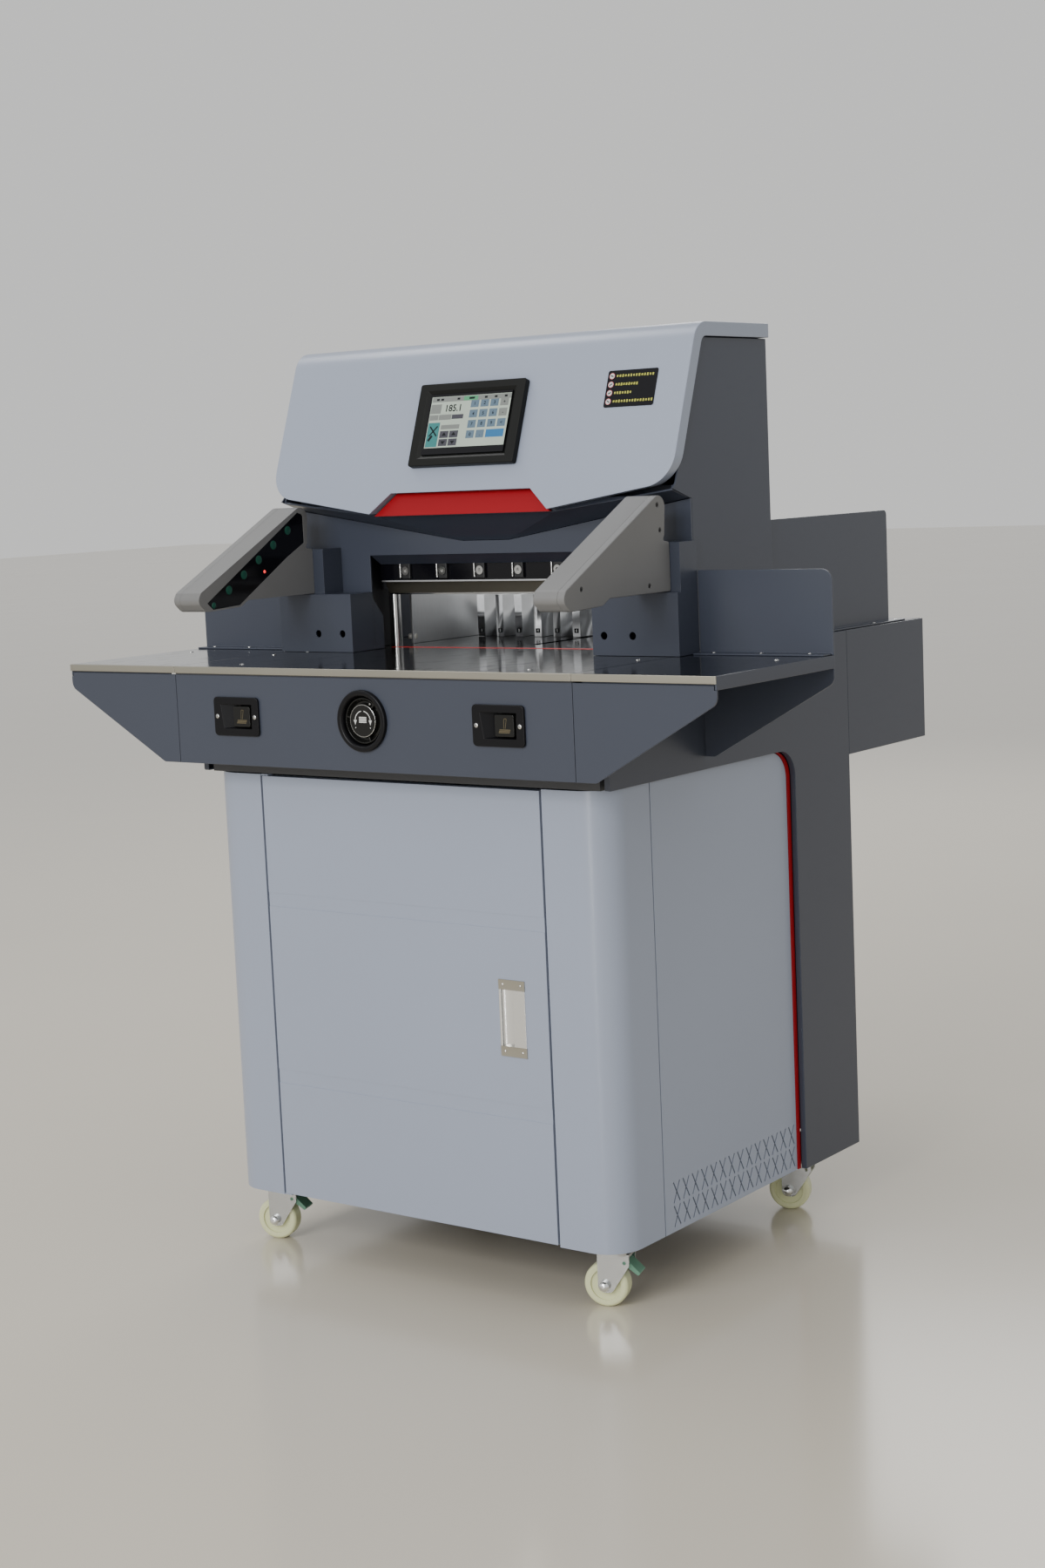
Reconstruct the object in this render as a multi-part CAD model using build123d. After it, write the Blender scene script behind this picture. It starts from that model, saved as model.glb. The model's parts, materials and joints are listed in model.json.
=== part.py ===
"""Programmed guillotine paper cutter on a wheeled cabinet, one STEP file for each piece.

Millimetres, +X to the operator's right, +Z up, the operator stands at -Y.
Shapes are drawn with Y = 0 at the front edge of the table, then moved back by
CENTRE_Y, so that the origin is on the floor under the middle of the machine.
"""
from build123d import *
import math
import os

os.makedirs("parts", exist_ok=True)

# ---- driving dimensions -------------------------------------------------
SHEET = 3.0              # folded sheet covers
CENTRE_Y = 475.0         # middle of the depth, from knob ring to rear box
TABLE_TOP = 890.0
TABLE_THICK = 12.0
TABLE_HALF = 575.0       # over both side tables
CENTRE_HALF = 355.5      # half width of the middle table
SIDE_DEPTH = 298.0       # depth of the side tables
APRON_BOTTOM = 748.0
CONTROL_Z = 819.0        # height of the knob and the cut buttons
BUTTON_X = 235.8

CABINET_HALF = 356.5
CABINET_FRONT = 60.0
CABINET_Z = (91.0, 727.0)
CORNER_R = 50.0
DOOR_HALF = 251.0
DOOR_DEPTH = 20.0
DOOR_PIVOT = (-247.0, 66.0)
COLUMN_Y = (540.6, 705.0)
CASING_X = (358.5, 367.5)
REAR_Y = 956.0
REAR_BOX_Z = 700.0

HEAD_HALF = 357.7
COVER_Y = (295.5, 298.5)  # front sheet of the head
HEAD_REAR = 509.0
HEAD_TOP = 1344.0
FACE_TILT = math.radians(20.0)
FACE_POINT = (249.5, 1159.1)  # (y, z) on the leaning face of the hood
HOOD_HALF = 363.6
HOOD_DEPTH = 20.0
WINDOW_HALF = 222.0
WINDOW_TOP = 1033.0

RAM_R = 12.0
KNIFE_LEAN = math.radians(15.0)  # the knife travels down and to the left
BLADE_Y = (336.0, 346.0)
BLADE_X = (-228.0, 250.0)
BLADE_EDGE = 971.0
BOLT_PITCH = 71.0
CLAMP_Y = (350.0, 388.0)
CLAMP_BOTTOM = 978.0
ROD_X = 238.0
ROD_R = 9.0
RUNNING = 0.06           # radial clearance of rods and shafts
GAUGE_Y = 543.0          # front face of the back gauge at rest
LAY_X = 236.0            # outer face of the side lays behind the clamp
LAY_Y = (404.0, 690.0)
SCREW_Z = 860.0
SCREW_R = 10.0
JOURNAL_R = 6.0

ARM_X = (299.0, 349.0)
BRACKET_FRONT = 243.6
BRACKET_STEP = 978.0

CASTER_X = 306.0
CASTER_Y = (118.0, 618.0)
CASTER_HEADING = 17.0    # degrees, rolling direction at rest
TRAIL = 12.0
WHEEL_R = 31.75
WHEEL_WIDTH = 24.0
KINGPIN_R = 5.0
AXLE_R = 4.0
PEDAL_PIN = (17.0, 66.0)  # (along the heading, up) from the kingpin
PEDAL_PIN_R = 2.5


# ---- drawing helpers ----------------------------------------------------
def block(x, y, z):
    """Rectangular block between a (low, high) pair on each axis."""
    spans = (x, y, z)
    middle = [(low + high) / 2 for low, high in spans]
    return Pos(*middle) * Box(*[high - low for low, high in spans])


def outline(points):
    """Closed face through (u, v) or (u, v, corner radius) points."""
    corners = [(p[0], p[1]) for p in points]
    radii = [p[2] if len(p) == 3 else 0 for p in points]
    return make_face(FilletPolyline(*corners, radius=radii, close=True))


def along_x(face, x):
    """Extrude a Y-Z face between two X values."""
    plane = Plane(origin=(x[0], 0, 0), x_dir=(0, 1, 0), z_dir=(1, 0, 0))
    return extrude(plane * face, x[1] - x[0])


def along_y(face, y):
    """Extrude an X-Z face between two Y values."""
    plane = Plane(origin=(0, y[1], 0), x_dir=(1, 0, 0), z_dir=(0, -1, 0))
    return extrude(plane * face, y[1] - y[0])


def along_z(face, z):
    """Extrude an X-Y face between two Z values."""
    return extrude(Pos(0, 0, z[0]) * face, z[1] - z[0])


def rod(start, end, radius):
    """Round bar between two points."""
    path = Vector(*end) - Vector(*start)
    plane = Plane(origin=start, z_dir=path)
    return extrude(plane * Circle(radius), path.length)


def mirrored(shape):
    """The same shape on the other side of the machine."""
    return mirror(shape, about=Plane.YZ)


def pair(shape):
    """A right-hand shape and its left-hand twin."""
    return [shape, mirrored(shape)]


def save(node, *shapes):
    """Write one node as its separate solids."""
    solids = [solid for shape in shapes for solid in shape.solids()]
    moved = Pos(0, -CENTRE_Y, 0) * Compound(solids)
    export_step(moved, f"parts/{node}.step")


def face_y(z, behind=0.0):
    """Y of the hood's leaning face at a height, or of a plane behind it."""
    return FACE_POINT[0] + (z - FACE_POINT[1]) * math.tan(FACE_TILT) + behind / math.cos(FACE_TILT)


def face_plane(x, z):
    """Work plane on the hood's leaning face, facing the operator."""
    normal = (0, -math.cos(FACE_TILT), math.sin(FACE_TILT))
    return Plane(origin=(x, face_y(z), z), x_dir=(1, 0, 0), z_dir=normal)


# ---- stand and cabinet --------------------------------------------------
def stand_frame():
    """Welded base plate with four posts that carry the machine bed."""
    base = along_z(outline([(-348, 84, 30), (348, 84, 30), (348, 698), (-348, 698)]), (91, 97))
    posts = [block((290, 330), (92, 132), (97, 727.9)), block((305, 345), (650, 690), (97, 727.9))]
    frame = base
    for post in posts:
        frame = frame + post + mirrored(post)
    save("stand_frame", frame)


def machine_bed():
    """Cast bed: a plate on the stand with two side walls under the table."""
    plate = block((-350, 350), (62, 700), (728, APRON_BOTTOM))
    wall = block((325, 350), (62, 700), (APRON_BOTTOM, TABLE_TOP - TABLE_THICK))
    bed = plate + wall + mirrored(wall)
    rod_y = sum(CLAMP_Y) / 2
    for x in (-ROD_X, ROD_X):
        bed -= rod((x, rod_y, 720), (x, rod_y, 760), ROD_R + 2)
    save("machine_bed", bed)


def corner_panels():
    """Rounded front corners of the cabinet; the left one has two lugs for the door pins."""
    inner_r = CORNER_R - 2.5
    front, side = CABINET_FRONT, CABINET_HALF
    face = outline([
        (254.8, front), (side, front, CORNER_R), (side, 168.5), (side - 2.5, 168.5),
        (side - 2.5, front + 2.5, inner_r), (257.3, front + 2.5),
        (257.3, front + DOOR_DEPTH), (254.8, front + DOOR_DEPTH)])
    panel = along_z(face, CABINET_Z)
    left = mirrored(panel)
    pin_x, pin_y = DOOR_PIVOT
    for low in (CABINET_Z[0], CABINET_Z[1] - 2):
        lug = block((-256, pin_x + 6), (front + 1.5, pin_y + 6), (low, low + 2))
        left += lug - rod((pin_x, pin_y, low - 1), (pin_x, pin_y, low + 3), 2.5 + RUNNING)
    save("corner_panels", panel, left)


def vent_slots(y_span, rows):
    """Crossed slots low on a side panel, in rows of X shapes."""
    count, tall, lean, width = 14, 34.0, 28.0, 2.6
    pitch = (y_span[1] - y_span[0]) / (count - 1)
    slots = []
    for z in rows:
        for number in range(count):
            at = Pos(CABINET_HALF, y_span[0] + number * pitch, z)
            slots += [at * Rot(angle, 0, 0) * Box(20, width, tall) for angle in (-lean, lean)]
    return slots


def side_panels():
    """Pale sheet panels on both sides of the cabinet, with air vents."""
    face = outline([(170.5, 91), (531.5, 91), (531.5, 727, 42), (170.5, 727)])
    skin = along_x(face, (CABINET_HALF - 2.5, CABINET_HALF))
    flange = block((CABINET_HALF - 17, CABINET_HALF - 2.5), (170.5, 173), (99, 720))
    panel = skin + flange - vent_slots((201, 517), (147, 113))
    save("side_panel_right", panel)
    save("side_panel_left", mirrored(panel))


def trim_stripes():
    """Red stripe between each side panel and the column."""
    low, front, rear = 91, 532.2, 540.0
    whole = outline([(300, low), (rear, low), (rear, 727.6, 42), (300, 727.6)])
    cut = outline([(299, low - 1), (front, low - 1), (front, 729, 44), (299, 729)])
    save("trim_stripes", *pair(along_x(whole - cut, (350, 358.2))))


def side_casings():
    """Dark casing on each side: a band under the table and the rear column."""
    top, band = TABLE_TOP - 0.4, 728.5
    face = outline([
        (4, APRON_BOTTOM + 0.5), (60, APRON_BOTTOM + 0.5), (60, band, 3), (COLUMN_Y[0], band, 42),
        (COLUMN_Y[0], 91), (COLUMN_Y[1], 91),
        (COLUMN_Y[1], top), (SIDE_DEPTH + 1, top), (SIDE_DEPTH + 1, 871), (4, 871)])
    casing = along_x(face, CASING_X) - along_x(
        offset(face, amount=-SHEET), (CASING_X[0] - 1, CASING_X[1] - SHEET))
    save("side_casing_right", casing)
    save("side_casing_left", mirrored(casing))


def back_panel():
    """Rear cover of the cabinet with the hole for the mains inlet."""
    panel = block((-358, 358), (COLUMN_Y[1] - SHEET, COLUMN_Y[1]), (99, REAR_BOX_Z - 0.5))
    save("back_panel", panel - rod((-220, 690, 300), (-220, 720, 300), 9.0))


def mains_inlet():
    """Cable gland in the back panel."""
    start, end = COLUMN_Y[1] - 10, COLUMN_Y[1] + 20
    body = rod((-220, start, 300), (-220, end, 300), 8.95)
    nuts = [RegularPolygon(13, 6), RegularPolygon(13, 6)]
    spans = [(COLUMN_Y[1], COLUMN_Y[1] + 8), (COLUMN_Y[1] - SHEET - 5, COLUMN_Y[1] - SHEET)]
    for nut, span in zip(nuts, spans):
        body += along_y(Pos(-220, 300) * nut, span)
    save("mains_inlet", body - rod((-220, start - 1, 300), (-220, end + 1, 300), 6.0))


def rear_box():
    """Open-topped box under the rear table."""
    half, top = CASING_X[1], TABLE_TOP - 0.4
    outer = block((-half, half), (COLUMN_Y[1] + 0.3, REAR_Y), (REAR_BOX_Z, top))
    inner = block((3 - half, half - 3), (700, REAR_Y - SHEET), (REAR_BOX_Z + SHEET, top + 1))
    save("rear_box", outer - inner)


def hydraulic_unit():
    """Oil tank with its upright pump motor inside the cabinet."""
    tank = block((-150, 150), (360, 560), (97, 300))
    motor = rod((0, 470, 300), (0, 470, 500), 65)
    save("hydraulic_unit", fillet(tank.edges().filter_by(Axis.Z), 12), motor)


# ---- door ---------------------------------------------------------------
HANDLE_X = (169.0, 213.0)
HANDLE_Z = (353.0, 459.0)
CREASES = ((264.0, 285.0), (531.0, 551.5))  # shallow pressed bands across the door


def door():
    """Folded sheet door on two pins, with a recessed pull."""
    front, skin = CABINET_FRONT, 2.0
    z = (CABINET_Z[0] + 2.5, CABINET_Z[1] - 2.5)
    panel = block((-DOOR_HALF, DOOR_HALF), (front, front + DOOR_DEPTH), z)
    hollow = block((skin - DOOR_HALF, DOOR_HALF - skin), (front + skin, front + 40),
                   (z[0] + skin, z[1] - skin))
    panel = panel - hollow - block(HANDLE_X, (front - 1, front + 5), HANDLE_Z)
    for crease in CREASES:
        panel -= block((-DOOR_HALF - 1, DOOR_HALF + 1), (front - 1, front + 0.6), crease)
    for low, high in ((z[0] - 2.4, z[0] + skin), (z[1] - skin, z[1] + 2.4)):
        panel += rod((*DOOR_PIVOT, low), (*DOOR_PIVOT, high), 2.5)
    save("door_panel", panel)
    rim = block((HANDLE_X[0] - 1, HANDLE_X[1] + 1), (front - 1.5, front),
                (HANDLE_Z[0] - 1, HANDLE_Z[1] + 1))
    cup = block((HANDLE_X[0] + 0.3, HANDLE_X[1] - 0.3), (front, front + 16),
                (HANDLE_Z[0] + 0.3, HANDLE_Z[1] - 0.3))
    pocket = block((HANDLE_X[0] + 3, HANDLE_X[1] - 3), (front - 2, front + 14),
                   (HANDLE_Z[0] + 13, HANDLE_Z[1] - 13))
    save("door_handle", rim + cup - pocket)


# ---- tables and front ---------------------------------------------------
def work_table():
    """Cast table with the cutting-stick groove, the gauge slot and screw bearings."""
    z = (TABLE_TOP - TABLE_THICK, TABLE_TOP)
    table = block((0.5 - CENTRE_HALF, CENTRE_HALF - 0.5), (0.2, COLUMN_Y[1] + 0.3), z)
    table += block((-364, 364), (COLUMN_Y[1] + 0.3, REAR_Y - SHEET - 0.5), z)
    table -= block((-226, 226), (340, 352), (TABLE_TOP - 10, TABLE_TOP + 1))
    table -= block((-7, 7), (402, 818), (z[0] - 1, z[1] + 1))
    rod_y = sum(CLAMP_Y) / 2
    for x in (-ROD_X, ROD_X):
        table -= rod((x, rod_y, 870), (x, rod_y, 900), ROD_R + RUNNING)
    for y in ((388, 398), (832, 844)):
        boss = block((-18, 18), y, (SCREW_Z - 16, z[0]))
        table += boss - rod((0, y[0] - 1, SCREW_Z), (0, y[1] + 1, SCREW_Z), JOURNAL_R + RUNNING)
    save("work_table", table)


def cut_stick():
    """Plastic strip in the table that takes the knife's edge."""
    save("cut_stick", block((-225.5, 225.5), (340.3, 351.7), (TABLE_TOP - 10, TABLE_TOP - 0.3)))


def apron():
    """Folded front cover with openings for the knob and the two cut buttons."""
    half, top = CENTRE_HALF, TABLE_TOP - TABLE_THICK - 0.2
    plate = block((-half, half), (0, SHEET), (APRON_BOTTOM, top))
    plate += block((-half, half), (SHEET, 61.5), (APRON_BOTTOM, APRON_BOTTOM + SHEET))
    plate -= rod((0, -1, CONTROL_Z), (0, 5, CONTROL_Z), 36)
    for x in (-BUTTON_X, BUTTON_X):
        plate -= block((x - 36.5, x + 36.5), (-1, 5), (CONTROL_Z - 21.5, CONTROL_Z + 21.5))
    save("apron", plate)


def side_tables():
    """Folded sheet side tables."""
    x, y, z = (CENTRE_HALF + 0.5, TABLE_HALF), (0.2, SIDE_DEPTH), (872, TABLE_TOP)
    table = block(x, y, z)
    table -= block((x[0] - 1, x[1] - SHEET), (y[0] + 6, y[1] - 6), (z[0] - 1, z[1] - SHEET))
    table -= block((x[0] - 1, x[1] - SHEET), (y[0] - 1, y[0] + 3), (z[0] - 1, z[1] - SHEET))
    table -= block((x[0] - 1, x[1] - SHEET), (y[1] - 3, y[1] + 1), (z[0] - 1, z[1] - SHEET))
    table -= block((x[0] - 1, 369), (y[0] - 1, y[1] + 1), (z[0] - 1, z[1] - SHEET))
    save("side_table_right", table)
    save("side_table_left", mirrored(table))


def wing_brackets():
    """Tapered sheet brackets under the side tables, front and rear."""
    front = outline([(356.3, 748), (388, 748, 10), (575, 855, 15), (575, 877.8), (356.3, 877.8)])
    rear = outline([(368, 747), (384, 747, 10), (574.8, 853, 15), (574.8, 871.8), (570, 871.8),
                    (570, 886.5), (370, 886.5), (368, 880)])
    front_plate = along_y(front, (0, SHEET)) - block((571, 576), (-1, 5), (871.8, 880))
    rear_plate = along_y(rear, (295.2, 298.0))
    save("wing_brackets", *pair(front_plate), *pair(rear_plate))


def edge_strips():
    """Metal strips along the front edge of the three tables."""
    z, y = (880, TABLE_TOP), (-2.5, 0)
    middle = block((-CENTRE_HALF + 0.3, CENTRE_HALF - 0.3), y, z)
    side = block((CENTRE_HALF + 0.3, TABLE_HALF), y, z)
    save("edge_strips", middle, *pair(side))


def side_guards():
    """Upright sheet at the back of each side table, with its foot flange."""
    face = outline([(365.2, TABLE_TOP), (575, TABLE_TOP), (575, 1005, 16), (365.2, 1005)])
    guard = along_y(face, (295, 298)) + block((368, 572), (272, 295), (TABLE_TOP, TABLE_TOP + 2.5))
    save("side_guards", *pair(guard))


def rear_guards():
    """Upright sheet on each side of the rear table, with its foot flange."""
    face = outline([(511, TABLE_TOP), (876, TABLE_TOP), (876, 1065, 8), (511, 1065)])
    guard = along_x(face, (346.5, 349.5)) + block((349.5, 363), (511, 905), (TABLE_TOP, TABLE_TOP + 2.5))
    save("rear_guards", *pair(guard))


# ---- operator controls on the apron -------------------------------------
def control_housings():
    """Black housings of the knob and the two cut buttons."""
    z = CONTROL_Z
    knob = rod((0, -6, z), (0, 0, z), 43) + rod((0, 0, z), (0, 22, z), 35.5)
    knob -= rod((0, -7, z), (0, 14, z), 34)
    knob -= rod((0, 13, z), (0, 23, z), JOURNAL_R + RUNNING)
    flange = Pos(BUTTON_X, z) * RectangleRounded(86, 56, 7)
    cup = along_y(flange, (-4, 0)) + block((BUTTON_X - 36, BUTTON_X + 36), (0, 24), (z - 21, z + 21))
    cup -= block((BUTTON_X - 30, BUTTON_X + 30), (-5, 14), (z - 19, z + 19))
    cup -= block((BUTTON_X + 1, BUTTON_X + 17), (13, 25), (z - 8, z + 8))
    left = Pos(-2 * BUTTON_X, 0, 0) * cup
    save("control_housings", knob, cup, left)


def hand_knob():
    """Dished knob on its shaft, for moving the back gauge."""
    z = CONTROL_Z
    knob = rod((0, 0, z), (0, 12, z), 32) - rod((0, -1, z), (0, 8, z), 29.5)
    knob += rod((0, -1, z), (0, 8.5, z), 23)
    knob += rod((0, 12, z), (0, 32, z), JOURNAL_R) + rod((0, 24, z), (0, 28, z), 10)
    save("hand_knob", fillet(knob.edges().group_by(Axis.Y)[0], 1.5))


def cut_buttons():
    """Square push buttons, one for each hand."""
    z = CONTROL_Z
    for node, x in (("cut_button_right", BUTTON_X + 9), ("cut_button_left", -BUTTON_X + 9)):
        cap = block((x - 16, x + 16), (-2, 10), (z - 15, z + 15))
        stem = block((x - 7.5, x + 7.5), (10, 30), (z - 7.5, z + 7.5))
        save(node, fillet(cap.edges().filter_by(Axis.Y), 2) + stem)


# ---- head ---------------------------------------------------------------
CHIN_FRONT = [(-354.5, 1119), (-161, 1092.6), (161, 1092.6), (354.5, 1119)]
CHIN_BACK = [(-354.5, 1104), (-43, 1052.8), (43, 1052.8), (354.5, 1104)]


def front_cover():
    """Front sheet of the head, with the paper window and its folded edges."""
    half, low = WINDOW_HALF, TABLE_TOP + 0.4
    face = outline([
        (-HEAD_HALF, low), (-half, low), (-half, WINDOW_TOP), (half, WINDOW_TOP), (half, low),
        (HEAD_HALF, low), (HEAD_HALF, 1103.8), (43, 1052.6), (-43, 1052.6), (-HEAD_HALF, 1103.8)])
    cover = along_y(face, COVER_Y)
    lip = outline([(297, 1033), (320, 1018), (322, 1021), (298.5, 1037)])
    jamb = outline([(297, low), (320, low), (320, 940), (298, 968)])
    cover += along_x(lip, (-half, half))
    for x in ((-half - SHEET, -half), (half, half + SHEET)):
        cover += along_x(jamb, x)
    save("front_cover", cover)


def tower_shell():
    """Side and rear walls of the head."""
    side = outline([
        (298.7, TABLE_TOP + 3), (HEAD_REAR, TABLE_TOP + 3), (HEAD_REAR, 1323), (332, 1323),
        (face_y(1126, 21), 1126), (251, 1118.6), (296, 1104), (298.7, 1104)])
    wall = along_x(side, (HEAD_HALF - SHEET, HEAD_HALF))
    rear = block((SHEET - HEAD_HALF, HEAD_HALF - SHEET), (HEAD_REAR - SHEET, HEAD_REAR), (985, 1323))
    save("tower_shell", wall + mirrored(wall) + rear)


def chin_solid(lift):
    """Ruled body between the hood's edge and the front cover."""
    top = 1123 + lift
    faces = []
    for y, line in ((246.5, CHIN_FRONT), (295.4, CHIN_BACK)):
        points = [(x, z + lift) for x, z in line] + [(354.5, top), (-354.5, top)]
        plane = Plane(origin=(0, y, 0), x_dir=(1, 0, 0), z_dir=(0, -1, 0))
        faces.append(plane * make_face(Polyline(*points, close=True)))
    return loft(faces, ruled=True)


def chin_panel():
    """Three sloping dark facets under the hood."""
    space = block((-351.5, 351.5), (253.5, 292.4), (1040, 1140))
    hood_space = outline([(200, 1080), (face_y(1080, 20.4), 1080), (face_y(1130, 20.4), 1130), (200, 1130)])
    chin = chin_solid(0) - along_x(hood_space, (-360, 360))
    save("chin_panel", chin - (chin_solid(SHEET) & space))


def hood_profile(near, far, low):
    """Y-Z band of the hood between two depths behind its outer surface."""
    front_top, rear_top = HEAD_TOP - near, HEAD_TOP - far
    return outline([
        (face_y(low, near), low), (face_y(front_top, near), front_top, 36 - near),
        (508 - near, front_top), (508 - near, rear_top), (face_y(rear_top, far), rear_top, 14),
        (face_y(low, far), low)])


def hood_front(inset):
    """Front outline of the hood in X-Z: rounded low corners, notch in the middle."""
    half = HOOD_HALF - inset
    return outline([
        (-half, 1128 + inset, 44 - inset), (-162 - inset, 1096.5 + inset, 2), (-127 - inset, 1126 + inset, 2),
        (127 + inset, 1126 + inset, 2), (162 + inset, 1096.5 + inset, 2), (half, 1128 + inset, 44 - inset),
        (half, 1400), (-half, 1400)])


def hood():
    """Pale pressed hood over the head: leaning face, bend and flat top."""
    outer = along_x(hood_profile(0, HOOD_DEPTH, 1085), (-HOOD_HALF, HOOD_HALF))
    outer &= along_y(hood_front(0), (200, 520))
    inner = along_x(hood_profile(SHEET, HOOD_DEPTH + 8, 1080), (-HOOD_HALF, HOOD_HALF))
    inner &= along_y(hood_front(SHEET), (200, 520))
    save("hood", outer - inner)


def hood_insert():
    """Red insert set back in the notch of the hood."""
    band = outline([
        (face_y(1093, 11), 1093), (face_y(1126.5, 11), 1126.5),
        (face_y(1126.5, 16), 1126.5), (face_y(1093, 16), 1093)])
    front = outline([(-164, 1090), (164, 1090), (124, 1125.5), (-124, 1125.5)])
    save("hood_insert", along_x(band, (-170, 170)) & along_y(front, (200, 300)))


def control_panel():
    """Touch panel: bezel and screen on the hood's face."""
    plane = face_plane(0, 1220)
    bezel = extrude(plane * RectangleRounded(192, 126, 4), 10)
    recess = extrude(plane.offset(6.5) * Rectangle(150, 92), 5)
    save("control_bezel", bezel - recess)
    save("control_screen", extrude(plane.offset(6.5) * Rectangle(149.6, 91.6), 2.5))
    save("data_plate", extrude(face_plane(273, 1258) * RectangleRounded(83, 54, 3), 0.8))


# ---- light curtain ------------------------------------------------------
def curtain_brackets():
    """Folded brackets at the sides of the window that hold the light curtain."""
    x, low = (221.0, 364.7), TABLE_TOP + 0.4
    lower = block(x, (BRACKET_FRONT, 295.3), (low, BRACKET_STEP))
    lower -= block((x[0] + 3, x[1] - 3), (BRACKET_FRONT + 3, 296), (low - 1, BRACKET_STEP - 3))
    upper = block((279, x[1]), (252.2, 295.3), (BRACKET_STEP, 1046))
    upper -= block((282, x[1] - 3), (255.2, 296), (BRACKET_STEP - 4, 1043))
    bracket = lower + upper
    for hole_x in (240.3, 288.3):
        bracket -= rod((hole_x, 240, 918), (hole_x, 250, 918), 5.5)
    save("curtain_brackets", *pair(bracket))


def curtain_window():
    """Y-Z face of the dark window in the inner side of an arm."""
    return outline([(17, 980), (29, 970), (86, 973), (196, 1038), (234, 1057), (234, 1099, 5), (222, 1103)])


def curtain_arms():
    """Moulded arms that carry the light curtain, each with a dark window."""
    face = outline([
        (252, 979.2, 3), (104, 979.2, 4), (88, 970.5, 8), (14, 967.5, 14), (-3, 983, 10),
        (5, 996, 6), (246.5, 1122, 16), (240.5, 1056, 4), (236, 1049, 3), (252, 1046.5, 3)])
    arm = along_x(face, ARM_X) - along_x(curtain_window(), (ARM_X[0] - 1, ARM_X[0] + 2.5))
    save("curtain_arm_right", arm)
    save("curtain_arm_left", mirrored(arm))
    pane = along_x(offset(curtain_window(), amount=-0.3), (ARM_X[0] + 0.6, ARM_X[0] + 2.5))
    save("curtain_windows", *pair(pane))


# ---- knife, clamp and back gauge ----------------------------------------
def knife_axis(travel, x=11.0, y=337.0, z=1078.0):
    """Point a distance up the knife's slanted path."""
    return (x + travel * math.sin(KNIFE_LEAN), y, z + travel * math.cos(KNIFE_LEAN))


def side_cheeks():
    """Guides that the knife and clamp run between, and the side lays behind them."""
    cheek = block((254.5, 274.5), (322.6, 395), (TABLE_TOP + 0.2, 1090))
    lay = block((LAY_X - 3, LAY_X), LAY_Y, (TABLE_TOP + 0.2, 968))
    save("side_cheeks", *pair(cheek), *pair(lay))


def bolt_places():
    """X of each knife bolt at rest."""
    return [-173 + BOLT_PITCH * number for number in range(6)]


def knife():
    """Knife beam, bevelled blade, its bolts and the hydraulic ram."""
    beam = block(BLADE_X, (324, BLADE_Y[0]), (992, 1078))
    front, rear = BLADE_Y
    edge = outline([(rear, BLADE_EDGE), (rear, 1070), (front, 1070), (front, BLADE_EDGE + 22),
                    (rear - 0.4, BLADE_EDGE)])
    blade = along_x(edge, BLADE_X)
    bolts = []
    for x in bolt_places():
        hole = rod((x, 320, 1008), (x, 350, 1008), 4.2)
        beam -= hole
        blade -= hole
        head = rod((x, 318, 1008), (x, 324, 1008), 6.5) + rod((x, 324, 1008), (x, 344, 1008), 4.0)
        socket = extrude(Plane(origin=(x, 321, 1008), z_dir=(0, -1, 0)) * RegularPolygon(3, 6), 4)
        bolts.append(head - socket)
    save("knife_beam", beam)
    save("knife_blade", blade)
    save("knife_bolts", *bolts)
    ram = rod(knife_axis(-3), knife_axis(165), RAM_R)
    save("knife_ram", ram - block(BLADE_X, (300, 360), (1000, 1078)))
    barrel = rod(knife_axis(25), knife_axis(190), 24)
    save("knife_cylinder", barrel - rod(knife_axis(20), knife_axis(182), RAM_R + RUNNING))


def clamp():
    """Clamp beam with its two pull rods and the yoke that joins them."""
    beam = block((-250, 250), CLAMP_Y, (CLAMP_BOTTOM, 1045))
    rod_y = sum(CLAMP_Y) / 2
    rods = [rod((x, rod_y, 665), (x, rod_y, CLAMP_BOTTOM), ROD_R) for x in (-ROD_X, ROD_X)]
    save("clamp_beam", beam)
    save("clamp_rods", *rods, block((-250, 250), (357, 381), (640, 665)))


def back_gauge():
    """Comb-faced gauge with a neck through the table and its nut on the screw."""
    count, width, pitch, reach, low = 12, 14.0, 37.2, 35.0, TABLE_TOP + 0.6
    half = (count - 1) / 2 * pitch + width / 2
    rear = GAUGE_Y + reach
    gauge = block((-half, half), (rear, rear + 28), (low, 940))
    for number in range(count):
        x = (number - (count - 1) / 2) * pitch
        gauge += block((x - width / 2, x + width / 2), (GAUGE_Y, rear + 0.01), (low, 957))
    gauge += block((-6, 6), (rear + 6, rear + 22), (872, low + 1))
    nut = block((-18, 18), (rear + 2, rear + 26), (844, 874))
    bore = rod((0, GAUGE_Y, SCREW_Z), (0, rear + 60, SCREW_Z), SCREW_R + RUNNING)
    save("back_gauge", gauge + nut - bore)


def lead_screw():
    """Screw under the rear table that drives the back gauge."""
    screw = rod((0, 399, SCREW_Z), (0, 831, SCREW_Z), SCREW_R)
    screw += rod((0, 389, SCREW_Z), (0, 843, SCREW_Z), JOURNAL_R)
    save("lead_screw", screw)


# ---- casters ------------------------------------------------------------
def caster_places():
    """Kingpin position of each caster by name."""
    front, rear = CASTER_Y
    return {"front_left": (-CASTER_X, front), "front_right": (CASTER_X, front),
            "rear_left": (-CASTER_X, rear), "rear_right": (CASTER_X, rear)}


def caster_plate():
    """Top plate with raceway, kingpin and bolt heads, drawn about the kingpin."""
    plate = along_z(RectangleRounded(74, 64, 6), (87, 91)) + rod((0, 0, 78.3), (0, 0, 87), 18)
    plate += rod((0, 0, 73.7), (0, 0, 80), KINGPIN_R) + rod((0, 0, 70), (0, 0, 73.7), 8)
    for x in (-28, 28):
        for y in (-23, 23):
            plate += along_z(Pos(x, y) * RegularPolygon(6, 6), (82, 87))
    return plate


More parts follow.
